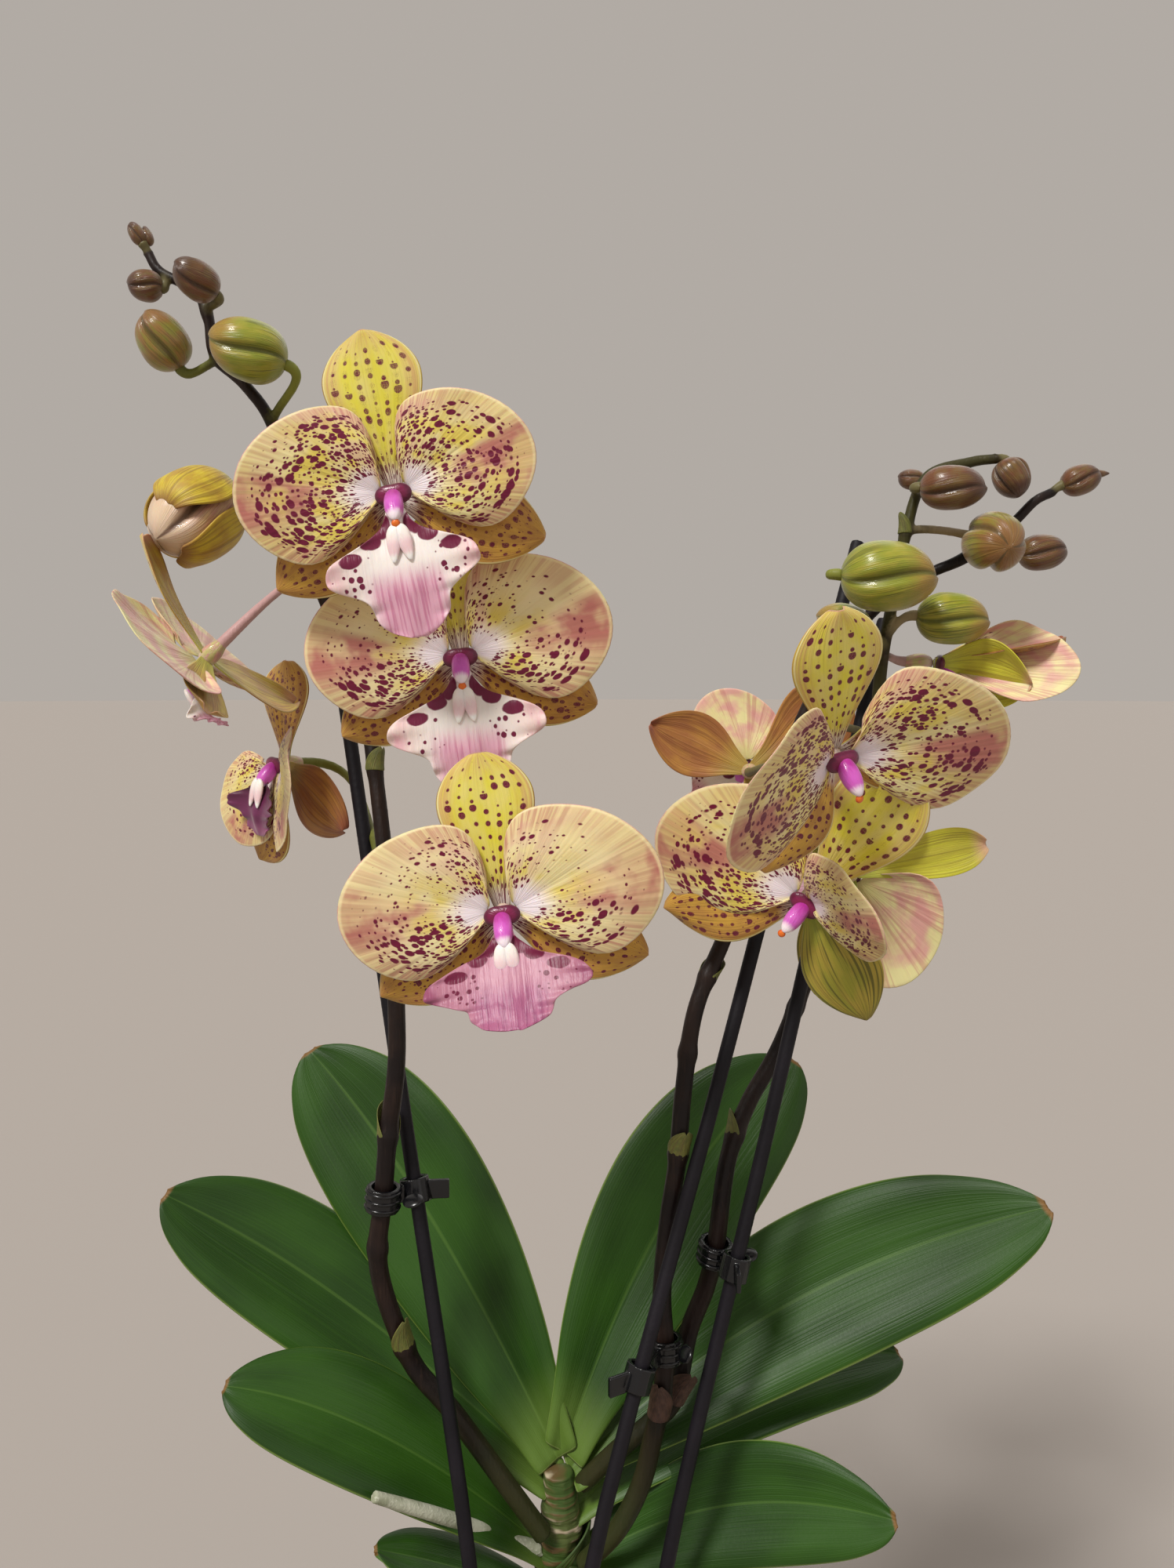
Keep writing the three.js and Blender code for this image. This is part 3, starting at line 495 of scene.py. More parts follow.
# face is the solid's heading, tilt and roll, and turned is the same for what is seen, where it differs
flowers = {
    "flower_left_1": {"face": (0, 3, 11), "fold": 4, "sepalFold": 1, "left": {"reach": 0.96},
                      "right": {"reach": 0.9},
                      "sepals": usual, "lip": (0.92, 1), "vigour": 0.92},
    "flower_left_2": {"face": (2, 0, 7), "fold": 4, "sepalFold": 1, "right": {"reach": 1.02},
                      "sepals": usual, "lip": (1, 1),
                      "vigour": 0.45},
    "flower_left_3": {"face": (0, 0, 9), "fold": 4, "sepalFold": 1, "right": {"reach": 1.03},
                      "sepals": usual,
                      # lipTone 3 is the lip in shadow, whose colours are painted shade
                      "lip": (1, 0.8), "lipFold": 34, "lipTone": 3, "vigour": 0.4},
    "flower_left_4": {"face": (-84, 35, 0), "turned": (-87, 44, 0), "shift": (-5, 0, -9), "fold": -4,
                      "sepalFold": 2,
                      "sepals": ((0, -16, 0.92, "slimWidth", 2, 3), (124, -4, 0.95, "sideWidth", 4, 3),
                                 (-116, 8, 0.85, "slimWidth", 4, 3)),
                      "lip": (0.35, 0.45), "vigour": 0.6},
    "flower_left_5": {"face": (-42, 15, 0), "turned": (-42, 2, -5), "fold": 20, "sepalFold": 4,
                      "left": {"raise": -44, "fold": 12, "reach": 0.76},
                      "right": {"raise": -12, "fold": 28, "reach": 0.92},
                      # finish 8 on the last sepal is the brown finish, here painted shade
                      "sepals": ((0, 0, 0.8, "width", 4, 3), (162, 4, 0.84, "width", 4, 3),
                                 (-118, 0, 0.85, "sideWidth", 8, 8)),
                      # lipTone 1 is the dark lip, painted shade
                      "lip": (0.6, 0.6), "lipTone": 1, "vigour": 0.7},
    "flower_right_1": {"face": (25, 12, 8), "turned": (25, 14, 14), "fold": 22, "sepalFold": 7,
                       "right": {"raise": 8, "fold": 18, "twist": -4, "reach": 1.07, "spread": 0.88},
                       "left": {"raise": 3, "fold": 19, "twist": -14},
                       "sepals": ((0, 4, 0.92, "width", 2, 3), (142, -6, 0.8, "sideWidth", 4, 3),
                                  (-98, -6, 0.74, "sideWidth", 4, 3)),
                       "lip": None, "vigour": 0.97},
    "flower_right_2": {"face": (-28, 10, -16), "turned": (-24, 12, -40), "fold": 22, "sepalFold": 7,
                       "left": {"raise": 0, "fold": 0, "reach": 1.12},
                       "right": {"raise": 62, "fold": 38, "reach": 0.76},
                       "sepals": ((4, 4, 1.2, "width", 2, 3), (136, 0, 1, "sideWidth", 4, 3),
                                  (-113, 4, 0.86, "sideWidth", 7, 7)),
                       "lip": None, "vigour": 0.8},
    "flower_right_3": {"face": (170, 0, 51), "fold": 10, "sepalFold": 3, "left": {"reach": 0.72},
                       "right": {"reach": 0.72},
                       "sepals": ((0, 0, 1, "width", 4, 8), (112, 0, 0.95, "sideWidth", 4, 8),
                                  (-116, 0, 0.9, "sideWidth", 4, 8)),
                       "lip": (0.6, 0.8), "vigour": 0.5},
    "flower_right_4": {"face": (160, 0, 77), "fold": 10, "sepalFold": 3,
                       "sepals": ((0, 20, 1.05, "slimWidth", 4, 6), (116, 0, 1, "sideWidth", 4, 7),
                                  (-116, 0, 1, "sideWidth", 4, 7)),
                       "lip": (0.6, 0.8), "vigour": 0.5},
    "flower_right_5": {"face": (88, 5, 0), "turned": (80, 3, 0), "fold": 72, "sepalFold": 70,
                       "spread": 0.55,
                       "sepals": ((0, 13, 0.92, "width", 4, 8), (116, 6, 0.7, "sideWidth", 4, 6),
                                  (-116, 6, 0.7, "sideWidth", 4, 6)),
                       "lip": None, "vigour": 0.4},
}
stalkEnds = {}  # where each stalk meets its flower or bud, and the way it points there


def turnOf(heading, tilt, roll):
    return about("Z", heading) @ about("X", 90 + tilt) @ about("Z", roll)


def flowerPlace(name, look):
    # the lip's own node gives where the flower's centre is
    turn = turnOf(*look["face"])
    back = turn.inverted()
    spots = [back @ vert.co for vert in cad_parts[name + "_lip"].data.vertices]
    middle = (min(spot.x for spot in spots) + max(spot.x for spot in spots)) / 2
    centre = turn @ Vector((middle, max(spot.y for spot in spots) - 2.6 * mm,
                            min(spot.z for spot in spots) - 4.7 * mm))
    centre += Vector(look.get("shift", (0, 0, 0))) * mm
    return Matrix.Translation(centre) @ turnOf(*look.get("turned", look["face"]))


def petalShape(side, reach, spread, seed):
    def shape(along, across):
        angle = math.radians(77 * across) * spread
        far = readTable(petalForm["reach"], 77 * across * side) * reach
        near = 1.3 * across
        radius = far * along
        x = near * (1 - along) + radius * math.sin(angle)
        y = petalForm["claw"] + radius * math.cos(angle)
        cup = 2.2 * math.sin(math.pi * along * 0.8) - 2.6 * (across * along) ** 2
        groove = -0.8 * math.exp(-(across * 7) ** 2) * math.sin(math.pi * min(along * 1.1, 1))
        ruffle = along ** 3 * (0.7 * math.sin(across * 6 + seed) + 0.45 * math.sin(across * 15 + seed * 3))
        ripple = 0.5 * along * noise.noise(Vector((x / 9, y / 9, seed)))
        return (x, y, 1 + cup + groove + ruffle + ripple), (along, across * side)
    return shape


def sepalShape(widths, seed, length):
    def shape(along, across):
        width = readTable(widths, along)
        x = width * across
        y = sepalForm["start"] + sepalForm["length"] * along * length
        cup = 1.2 * math.sin(math.pi * along) - 2.4 * across ** 2 * along
        groove = -0.7 * math.exp(-(across * 6) ** 2) * math.sin(math.pi * along)
        ruffle = 0.6 * along * abs(across) * math.sin(along * 9 + across * 4 + seed)
        return (x, y, -1.4 + cup + groove + ruffle - 2.0 * along ** 2), (along, across)
    return shape


def lipShape(spread, drop, seed, fold):
    def shape(along, across):
        down = 38 * along
        width = readTable(lipForm["width"], down)
        x = width * across * spread
        wing = math.exp(-((down - 17) / 7) ** 2) * abs(across) ** 1.5
        frill = abs(across) ** 4 * (0.9 * math.sin(down * 1.1 + across * 2 + seed)
                                    + 0.5 * math.sin(down * 2.3 + seed))
        keel = 1.6 * math.exp(-(across * 4) ** 2) * math.sin(math.pi * along)
        lobe = max(0, along - 0.66) * 7
        y = -lipForm["start"] - down * drop * math.cos(math.radians(fold * along))
        z = 6 + 3 * math.sin(math.pi * along * 0.7) + 5 * wing + frill + keel - lobe
        z += down * drop * math.sin(math.radians(fold * along))
        return (x, y, z), (along, x / 24)
    return shape


def noseShape(unit):
    # the column: a round nose with flat cheeks and a hood over its tip
    cheek = 1 - 0.15 * abs(unit.x) ** 3
    taper = 1 - 0.22 * max(unit.z, 0) ** 2
    return (3.2 * unit.x * taper * cheek, 2.7 * unit.y * taper, 6.2 * unit.z)


def prongShape(unit):
    return (2.1 * unit.x * (1 - 0.35 * unit.z), 1.1 * unit.y * (1 - 0.3 * unit.z), 5.4 * unit.z)


bloomFinishes = [petalFace, petalRear, dorsalFace, sepalRear, lateralFace,
                 throatFace, greenRear, veinedRear, brownAndShadeRear, hubFace]
lipFinishes = [lipFace, darkLipInShade, columnFace, lipInShadow, callusFace, pollenFace]


def makeFlower(name, look, number):
    place = flowerPlace(name, look)
    seed = 11 * number + look["vigour"]
    way = (place.to_3x3() @ Vector((0, 0, 1))).normalized()
    stalkEnds[name] = (place.translation - way * 7 * mm, way)
    bm = newMesh()
    for step, (angle, lean, length, widths, front, rear) in enumerate(look["sepals"]):
        blade = place @ about("Z", angle) @ about("X", look["sepalFold"] + lean)
        shape = sepalShape(sepalForm[widths], seed + angle, length)
        addSheet(bm, shape, sepalForm, seed + step, blade, (front, rear))
    for step, (side, part) in enumerate(((-1, look.get("right", {})), (1, look.get("left", {})))):
        part = {"fold": look["fold"], "spread": look.get("spread", 1), **petalStance, **part}
        blade = place @ about("Z", side * (90 - part["raise"]))
        blade = blade @ about("X", part["fold"]) @ about("Y", side * part["twist"])
        shape = petalShape(side, part["reach"], part["spread"], seed + side)
        addSheet(bm, shape, petalForm, seed + 4 + step, blade, (0, 1))
    addBlob(bm, lambda unit: (5.4 * unit.x, (2.8 + 0.9 * abs(unit.x)) * unit.y, 3 + 1.8 * unit.z), seed,
            place, 5, 24, 12)
    addBlob(bm, lambda unit: (3 * unit.x * (1 + 0.3 * unit.z), 3 * unit.y * (1 + 0.3 * unit.z),
                              -4.5 + 5.5 * unit.z),
            seed, place, 9, 16, 12)
    addPiece(bm, name + "_bloom", bloomFinishes, [name + "_petals"])

    bm = newMesh()
    addBlob(bm, noseShape, seed, place @ moved(0, -3.2, 6.5) @ turnTo((0, -0.72, 0.7)), 2)
    addBlob(bm, lambda unit: (1.3 * unit.x, 1.3 * unit.y, 0.8 * unit.z), seed,
            place @ moved(0, -8.6, 10.2), 5, 12, 8)
    if look["lip"]:
        spreadLip, drop = look["lip"]
        shape = lipShape(spreadLip, drop, seed, look.get("lipFold", 8))
        addSheet(bm, shape, lipForm, seed, place, [look.get("lipTone", 0)] * 2)
        for side in (-1, 1):
            prong = place @ moved(side * 1.6, -12 * drop - 2, 11) @ turnTo((side * 0.14, -1, 0.2))
            addBlob(bm, prongShape, seed, prong, 4, 14, 10)
    addPiece(bm, name + "_column", lipFinishes, [name + "_lip"])


for index, (name, look) in enumerate(flowers.items()):
    makeFlower(name, look, index + 1)
print("flowers")

budForm = {"seam": 0.17, "spin": 30, "finish": brownBud}
# a tip is how far along the bud it stands, its offset and lean, its radius, taper and half length,
# and its sides and rings
buds = {
    "bud_left_1": {"way": (-0.6, 0, 1), "tip": (0, (2.6, 0, -1.4), (0.3, 0, 1), 1.9, 0.3, 3.4, (16, 12))},
    "bud_left_2": {"way": (-1, -0.2, 0.1)},
    "bud_left_3": {"way": (-0.7, -0.6, 0.5)},
    "bud_left_4": {"way": (-0.45, -0.3, 0.85), "finish": oliveBud},
    "bud_left_5": {"way": (-1, -0.2, 0.35), "finish": greenBud},
    "bud_right_1": {"way": (0.3, -0.2, -0.9)},
    "bud_right_2": {"way": (1, -0.3, -0.05)},
    "bud_right_3": {"way": (-1, 0.3, 0.3)},
    "bud_right_4": {"way": (0.1, -1, -0.25), "finish": oliveBud},
    "bud_right_5": {"way": (1, 0, 0.05)},
    "bud_right_6": {"way": (1, 0, 0.3), "tip": (0.52, (0, 0, 0), (0.25, 0, 1), 1.3, 0.5, 3.2, (14, 10))},
    "bud_right_7": {"way": (1, -0.1, -0.05), "finish": greenBud},
    "bud_right_8": {"way": (1, -0.1, -0.1), "finish": greenBud},
    "bud_right_9": {"way": (-0.8, 0.2, 0.3), "finish": greenBud},
    "bud_left_opening": {"way": (-0.5, -0.7, -0.5), "finish": openBud, "seam": 0.24, "spin": 0,
                         "sepals": [(0, 0, 0.94), (120, 3, 0.82), (240, 3, 0.86)]},
}
hoodForm = {"rows": 18, "columns": 16, "thick": 1.0}


def budPlace(name, way):
    turn = turnTo(way)
    back = turn.inverted()
    spots = [back @ vert.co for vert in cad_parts[name].data.vertices]
    low = Vector([min(spot[axis] for spot in spots) for axis in range(3)])
    high = Vector([max(spot[axis] for spot in spots) for axis in range(3)])
    return turn @ Matrix.Translation((low + high) / 2), (high - low) / mm


def budShape(size, depth):
    # a blunt round body of three lobes with deep seams between them
    def shape(unit):
        turn = math.atan2(unit.y, unit.x) + 0.35 * unit.z
        lobe = abs(math.sin(1.5 * turn))
        level = unit.z
        blunt = ((1 - abs(level) ** 2.5) / (1 - level * level)) ** 0.5 if abs(level) < 0.999 else 1
        seam = math.exp(-(lobe / 0.24) ** 2) + 0.4 * (1 - lobe) ** 2
        width = size.x / 2 * (1 - depth * seam * (1 - abs(level) ** 4)) * blunt * (1 - 0.06 * level)
        beak = 0.06 * max(level, 0) ** 6 * (1 + 0.6 * math.cos(turn))
        return (unit.x * width, unit.y * width, (level * 0.97 + beak) * size.z / 2)
    return shape


def tipShape(radius, taper, half):
    def shape(unit):
        width = radius * (1 - taper * unit.z)
        return (unit.x * width, unit.y * width, half * unit.z)
    return shape


def makeBud(name, look, seed):
    look = {**budForm, **look}
    place, size = budPlace(name, look["way"])
    place = place @ about("Z", look["spin"])
    way = (place.to_3x3() @ Vector((0, 0, 1))).normalized()
    stalkEnds[name] = (place.translation - way * (size.z / 2 - 0.8) * mm, way)
    bm = newMesh()
    addBlob(bm, budShape(size, look["seam"]), seed, place, 0, 72, 30)
    if "tip" in look:
        ahead, (x, y, z), lean, radius, taper, half, faces = look["tip"]
        foot = place @ moved(x, y, z + ahead * size.z) @ turnTo(lean)
        addBlob(bm, tipShape(radius, taper, half), seed, foot, 0, *faces)
    for step, (angle, lean, length) in enumerate(look.get("sepals", ())):
        foot = place @ moved(0, 0, -size.z * 0.48) @ about("Z", angle) @ about("X", lean)
        addSheet(bm, hoodShape(size, length, seed + step), hoodForm, seed + step, foot, (1, 1))
    addPiece(bm, name + "_skin", [look["finish"], hoodFace], [name])


def hoodShape(size, length, seed):
    # an opening sepal: a spoon that wraps round the bud's side
    def shape(along, across):
        out = size.x / 2 * 1.13 * max(0.05, 1 - abs(2 * (0.04 + 0.9 * along) - 1) ** 2.5) ** 0.5
        turn = across * 0.98 * math.sin(math.pi * (0.12 + 0.82 * along)) ** 0.45
        out += 0.9 * across ** 6 + 0.6 * along ** 8
        lift = 0.5 * noise.noise(Vector((along * 3, across * 2, seed)))
        return (out * math.sin(turn), -out * math.cos(turn),
                size.z * length * along + lift), (along, across)
    return shape


for index, (name, look) in enumerate(buds.items()):
    makeBud(name, look, 2.3 * index)
print("buds")

leafForm = {
    "rows": 40, "columns": 14, "thick": 1.5,
    "width": [(0, 0.30), (0.08, 0.42), (0.2, 0.66), (0.36, 0.88), (0.54, 1), (0.7, 0.97), (0.83, 0.82),
              (0.92, 0.58), (0.97, 0.36),
              (1, 0.12)],
}
leaves = {
    "leaf_back_left": {"base": (-6, 9, 98), "middle": (-54, 37, 166), "tip": (-101, 58, 217), "half": 28,
                       "face": (0, -1, 0.35)},
    "leaf_left": {"base": (-9, 5, 90), "middle": (-80, 22, 136), "tip": (-145, 20, 176), "half": 24,
                  "face": (0, -0.75, 0.8)},
    "leaf_low_left": {"base": (-9, 4, 62), "middle": (-60, -14, 109), "tip": (-111, -25, 132), "half": 20,
                      "face": (0, -0.6, 0.9)},
    "leaf_front_left": {"base": (-9, -3, 48), "middle": (-34, -15, 62), "tip": (-62, -28, 78), "half": 12,
                        "face": (0, -0.3, 1)},
    "leaf_back_right": {"base": (1, 10, 100), "middle": (38, 34, 167), "tip": (86, 50, 216), "half": 27,
                        "face": (0, -1, 0.35)},
    "leaf_right": {"base": (7, 8, 94), "middle": (80, 16, 140), "tip": (163, -5, 183), "half": 27,
                   "face": (0, -0.8, 0.75)},
    "leaf_low_right": {"base": (8, 8, 78), "middle": (66, 28, 103), "tip": (124, 30, 110), "half": 22,
                       "face": (0, -0.5, 0.9)},
    "leaf_front_right": {"base": (9, 1, 58), "middle": (55, -6, 79), "tip": (106, -34, 92), "half": 19,
                         "face": (0, -0.8, 0.6)},
}


def leafShape(look, seed):
    base, middle, tip = (Vector(look[key]) for key in ("base", "middle", "tip"))
    control = 2 * middle - (base + tip) / 2
    base = Vector((base.x * 0.25 - 1.5, base.y * 0.3, base.z - 11))
    face = Vector(look["face"]).normalized()
    side = (tip - base).cross(face).normalized()

    def shape(along, across):
        spot = base * (1 - along) ** 2 + control * 2 * along * (1 - along) + tip * along ** 2
        width = look["half"] * readTable(leafForm["width"], along)
        trough = 0.2 + 0.3 * (1 - along) ** 5
        lift = width * (trough * abs(across) - 0.10 * across ** 4)
        crease = -0.9 * math.exp(-(across * 9) ** 2)
        wave = 1.3 * abs(across) * along * noise.noise(Vector((along * 4, across, seed)))
        swell = 0.35 * math.cos(across * 9)
        spot = spot + side * width * across + face * (lift + crease + wave + swell)
        return spot, (along, across)
    return shape


def leafFinish(name, look):
    finish = Finish(name, {"Specular IOR Level": 0.3, "Coat Weight": 0.06, "Coat Roughness": 0.3})
    along, across, seed = finish.growth()
    cloud = finish.noise(finish.join(along * 3, across * 0.9, seed), 1.0, 2.0)
    lines = finish.noise(finish.join(along * 2.0, across * 42, seed), 1.0, 2.0)
    grain = finish.noise(finish.place(), 900.0, 2.0)
    colour = finish.blend(cloud.between(0.3, 0.7), look["deep"], look["light"])
    colour = colour.toward(lines.between(0.5, 0.68) * 0.2, look["line"])
    rib = 1 - abs(across).between(0.008, 0.035)
    colour = colour.toward(rib * 0.3, look["rib"])
    edge = abs(across).between(0.97, 0.995)
    colour = colour.toward(edge * 0.3, look["edge"])
    tip = (along + cloud * 0.012).between(0.993, 1.004)
    colour = colour.toward(tip, "7a5a30")
    colour = colour.toward((1 - along.between(0.02, 0.16)) * 0.7, look["foot"])
    shine = 0.3 + cloud * 0.16 + grain * 0.05
    return finish.wear(Base_Color=colour, Roughness=shine,
                       Normal=finish.bump(lines * 0.6 + cloud + grain * 0.1, 0.0009, 0.35))


leafUpper = leafFinish("leafUpper", {"deep": "1c3a08", "light": "2a4f0d", "line": "355c14", "rib": "587a30",
                                     "edge": "7d8f40", "foot": "668034"})
leafUnder = leafFinish("leafUnder", {"deep": "476b2b", "light": "5b7d36", "line": "6b8a44", "rib": "8fa662",
                                     "edge": "9fb25c", "foot": "8fa25c"})

for index, (name, look) in enumerate(leaves.items()):
    bm = newMesh()
    addSheet(bm, leafShape(look, index * 1.3), leafForm, index * 1.3, Matrix.Translation(plantFoot), (0, 1))
    addPiece(bm, name + "_blade", [leafUpper, leafUnder], [name])
print("leaves")


def soften(piece, voxel, rounds, puff, lumps=()):
    # remeshes a piece, smooths it, and swells it a little at its lumps
    remesh = piece.modifiers.new("remesh", "REMESH")
    remesh.mode = "VOXEL"
    remesh.voxel_size = voxel * mm
    smooth = piece.modifiers.new("smooth", "SMOOTH")
    smooth.factor = 0.5
    smooth.iterations = rounds
    solved = solvedMesh(piece)
    piece.modifiers.clear()
    piece.data = solved
    bm = bmesh.new()
    bm.from_mesh(solved)
    bm.normal_update()
    moves = []
    for vert in bm.verts:
        shift = puff * mm
        for centre, reach, height in lumps:
            away = (vert.co - centre).length / (reach * mm)
            if away < 2.5:
                shift += height * mm * math.exp(-away * away)
        moves.append(vert.co + vert.normal * shift)
    for vert, spot in zip(bm.verts, moves):
        vert.co = spot
    for face in bm.faces:
        face.smooth = True
        face.material_index = 0
    bm.to_mesh(solved)
    bm.free()
    solved.materials.clear()


def softCopy(node, name, voxel, rounds, puff, lumps=()):
    # a smoothed copy of a solid
    piece = bpy.data.objects.new(name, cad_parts[node].data.copy())
    scene.collection.objects.link(piece)
    bm = bmesh.new()
    bm.from_mesh(piece.data)
    bmesh.ops.remove_doubles(bm, verts=bm.verts, dist=1e-6)
    bm.to_mesh(piece.data)
    bm.free()
    soften(piece, voxel, rounds, puff, lumps)
    return piece


spikes = {
    "spike_left": {
        "path": [(-8, -9, 68), (-20, -12, 88), (-38, -13, 115), (-50, -12, 129), (-56, -13, 143),
                 (-61, -14, 160), (-62, -16, 174),
                 (-60, -16, 190), (-58, -16, 212), (-55, -14, 240), (-57, -8, 280), (-60, -4, 306),
                 (-66, 5, 344), (-73, 10, 368),
                 (-82, 10, 390), (-89, 5, 419), (-94, -3, 442), (-101, -6, 453), (-111, -5, 463),
                 (-113, -4, 474),
                 (-117, -3, 483), (-129, -1, 490), (-133, 0, 496)],
        "stalks": {"flower_left_1": 428, "flower_left_2": 372, "flower_left_3": 300, "flower_left_4": 396,
                   "flower_left_5": 290,
                   "bud_left_1": 496, "bud_left_2": 489, "bud_left_3": 477, "bud_left_4": 461,
                   "bud_left_5": 442,
                   "bud_left_opening": 420},
        "rings": [(138, 1.0), (174, 0.8), (212, 0.9), (331, 0.6), (461, 0.5), (477, 0.5)],
        "bracts": [(138, 60, 11, "green"), (212, -150, 11, "green"), (331, 60, 7, "green")]},
    "spike_middle": {
        "path": [(6, -8, 57), (17, -16, 75), (25, -17, 92), (29, -16, 108), (32, -15, 122), (33, -14, 138),
                 (32, -13, 157),
                 (34, -12, 181), (37, -11, 202), (39, -9, 225), (43, -6, 251), (53, 0, 274), (63, 6, 296),
                 (71, 10, 322),
                 (81, 12, 349), (92, 10, 370), (105, 5, 386), (119, 2, 395), (130, 0, 400), (144, -1, 410),
                 (152, -1, 418),
                 (158, 0, 421)],
        "stalks": {"flower_right_2": 300, "flower_right_3": 330, "bud_right_5": 401, "bud_right_6": 421},
        "rings": [(120, 0.9), (204, 1.0), (237, 0.8), (262, 0.9), (401, 0.4)],
        "bracts": [(116, -30, 12, "paper"), (204, 20, 9, "green"), (262, 150, 8, "green")]},
    "spike_right": {
        "greenFrom": 300,
        "path": [(5, 0, 80), (17, -3, 94), (29, -5, 106), (37, -6, 116), (42, -2, 137), (48, 0, 152),
                 (51, -3, 169),
                 (55, 1, 196), (63, 10, 213), (75, 15, 233), (88, 14, 269), (96, 9, 297), (102, 3, 323),
                 (103, -2, 362),
                 (105, -4, 380), (108, -4, 396), (110, -4, 409), (116, -3, 425), (130, -3, 430),
                 (138, -4, 431)],
        "stalks": {"flower_right_1": 340, "flower_right_4": 285, "flower_right_5": 368, "bud_right_1": 431,
                   "bud_right_2": 420,
                   "bud_right_3": 420, "bud_right_4": 408, "bud_right_7": 388, "bud_right_8": 374,
                   "bud_right_9": 370},
        "rings": [(118, 0.9), (204, 0.8), (246, 0.7), (408, 0.5), (428, 0.4)],
        "bracts": [(116, 10, 12, "paper"), (204, -120, 9, "green"), (408, -90, 6, "green")]},
}
stalkTones = {"flower_left_4": (0.3, 0.9), "flower_right_5": (0.3, 0.7), "bud_left_5": (0.95, 0),
              "bud_left_4": (0.5, 0),
              "bud_right_4": (0.8, 0.4), "bud_right_8": (0.7, 0.3), "flower_left_5": (0.7, 0),
              "bud_right_7": (0.8, 0)}
stemForm = {"foot": 3.4, "tip": 1.5, "stalk": 1.35, "stalkEnd": 1.9, "voxel": 0.5}


def smoothPath(points):
    # a line through the points, with a point about every 1.6 mm
    points = [Vector(point) for point in points]
    points = [2 * points[0] - points[1], *points, 2 * points[-1] - points[-2]]
    line = []
    for before, start, end, after in zip(points, points[1:], points[2:], points[3:]):
        count = max(2, round((end - start).length / 1.6))
        for at in range(count):
            t = at / count
            line.append((2 * start + (end - before) * t + (2 * before - 5 * start + 4 * end - after) * t * t
                         + (3 * start - before - 3 * end + after) * t ** 3) / 2)
    return line + [points[-2]]


def addRod(bm, line, radii):
    # a round rod along a line given in mm from the plant's foot
    data = bpy.data.curves.new("rod", "CURVE")
    data.dimensions = "3D"
    data.bevel_depth = mm
    data.bevel_resolution = 3
    data.use_fill_caps = True
    spline = data.splines.new("POLY")
    spline.points.add(len(line) - 1)
    for point, spot, radius in zip(spline.points, line, radii):
        point.co = (*(plantFoot + spot * mm), 1)
        point.radius = radius
    rod = bpy.data.objects.new("rod", data)
    scene.collection.objects.link(rod)
    mesh = solvedMesh(rod)
    bm.from_mesh(mesh)
    bpy.data.objects.remove(rod)
    bpy.data.meshes.remove(mesh)


def lineAt(line, level):
    # the first point of a line at a height, and the way it runs there
    for start, end in zip(line, line[1:]):
        if start.z <= level <= end.z:
            part = (level - start.z) / max(end.z - start.z, 1e-6)
            return start.lerp(end, part), (end - start).normalized()
    return line[-1], (line[-1] - line[-2]).normalized()


def stemRadius(along):
    return stemForm["foot"] + (stemForm["tip"] - stemForm["foot"]) * along ** 1.6


def stemAt(line, level):
    # a place on a stem, the way it runs there, and its radius
    spot, way = lineAt(line, level)
    nearest = line.index(min(line, key=lambda point: (point - spot).length))
    return spot, way, stemRadius(nearest / len(line))


def stalkLine(start, end, way):
    lean = (end - start).length * 0.45
    rise = start.lerp(end, 0.25) + Vector((0, 0, lean * 0.25))
    bend = end - way * lean
    return [start * (1 - t) ** 3 + rise * 3 * t * (1 - t) ** 2 + bend * 3 * t * t * (1 - t) + end * t ** 3
            for t in (step / 16 for step in range(17))]


bractForm = {"rows": 8, "columns": 10, "thick": 0.35}


def makeSpike(name, look):
    form = stemForm
    line = smoothPath(look["path"])
    radii = []
    for at, spot in enumerate(line):
        ring = sum(height * math.exp(-((spot.z - level) / 2.6) ** 2) for level, height in look["rings"])
        radii.append(stemRadius(at / len(line)) + ring * 0.8)
    bm = bmesh.new()
    addRod(bm, line, radii)
    marks = [(spot, (0.12 if spot.z > look.get("greenFrom", math.inf) else 0, 0)) for spot in line]
    for target, level in look["stalks"].items():
        start = lineAt(line, level)[0]
        spot, way = stalkEnds[target]
        path = stalkLine(start, (spot - plantFoot) / mm, way)
        thick = [form["stalk"] + (form["stalkEnd"] - form["stalk"]) * max(0, at / 16 - 0.6) / 0.4
                 + 0.5 * math.exp(-at)
                 for at in range(17)]
        addRod(bm, path, thick)
        green, pink = stalkTones.get(target, (0.35, 0.1))
        marks += [(spot, (green * min(1, at / 7), pink * min(1, at / 7))) for at, spot in enumerate(path)]
    stem = newObject(name + "_stem", bm)
    soften(stem, form["voxel"], 5, 0.06)
    tree = kdtree.KDTree(len(marks))
    for index, (spot, tones) in enumerate(marks):
        tree.insert(plantFoot + spot * mm, index)
    tree.balance()
    growth = stem.data.attributes.new("growth", "FLOAT_VECTOR", "POINT")
    for vert in stem.data.vertices:
        tones = [marks[found[1]][1] for found in tree.find_n(vert.co, 3)]
        growth.data[vert.index].vector = (sum(tone[0] for tone in tones) / 3,
                                          sum(tone[1] for tone in tones) / 3, 0)
    settle(stem, [stemSkin], [name])
    for index, (level, heading, length, kind) in enumerate(look["bracts"]):
        bm = newMesh()
        spot, way, radius = stemAt(line, level)
        place = Matrix.Translation(plantFoot + spot * mm) @ turnTo(way) @ about("Z", heading)
        addSheet(bm, bractShape(radius, length), bractForm, index, place, (0, 0))
        addPiece(bm, f"{name}_bract_{index + 1}", [bractSkins[kind]], [])


def bractShape(radius, length):
    # a pointed papery scale that hugs the stem
    def shape(along, across):
        turn = across * (2.3 * (1 - along) ** 0.7 + 0.15)
        out = radius + 0.7 + 1.3 * along ** 2
        return (out * math.sin(turn), -out * math.cos(turn),
                length * along - 1.5 + 1.2 * abs(across)), (along, across)
    return shape


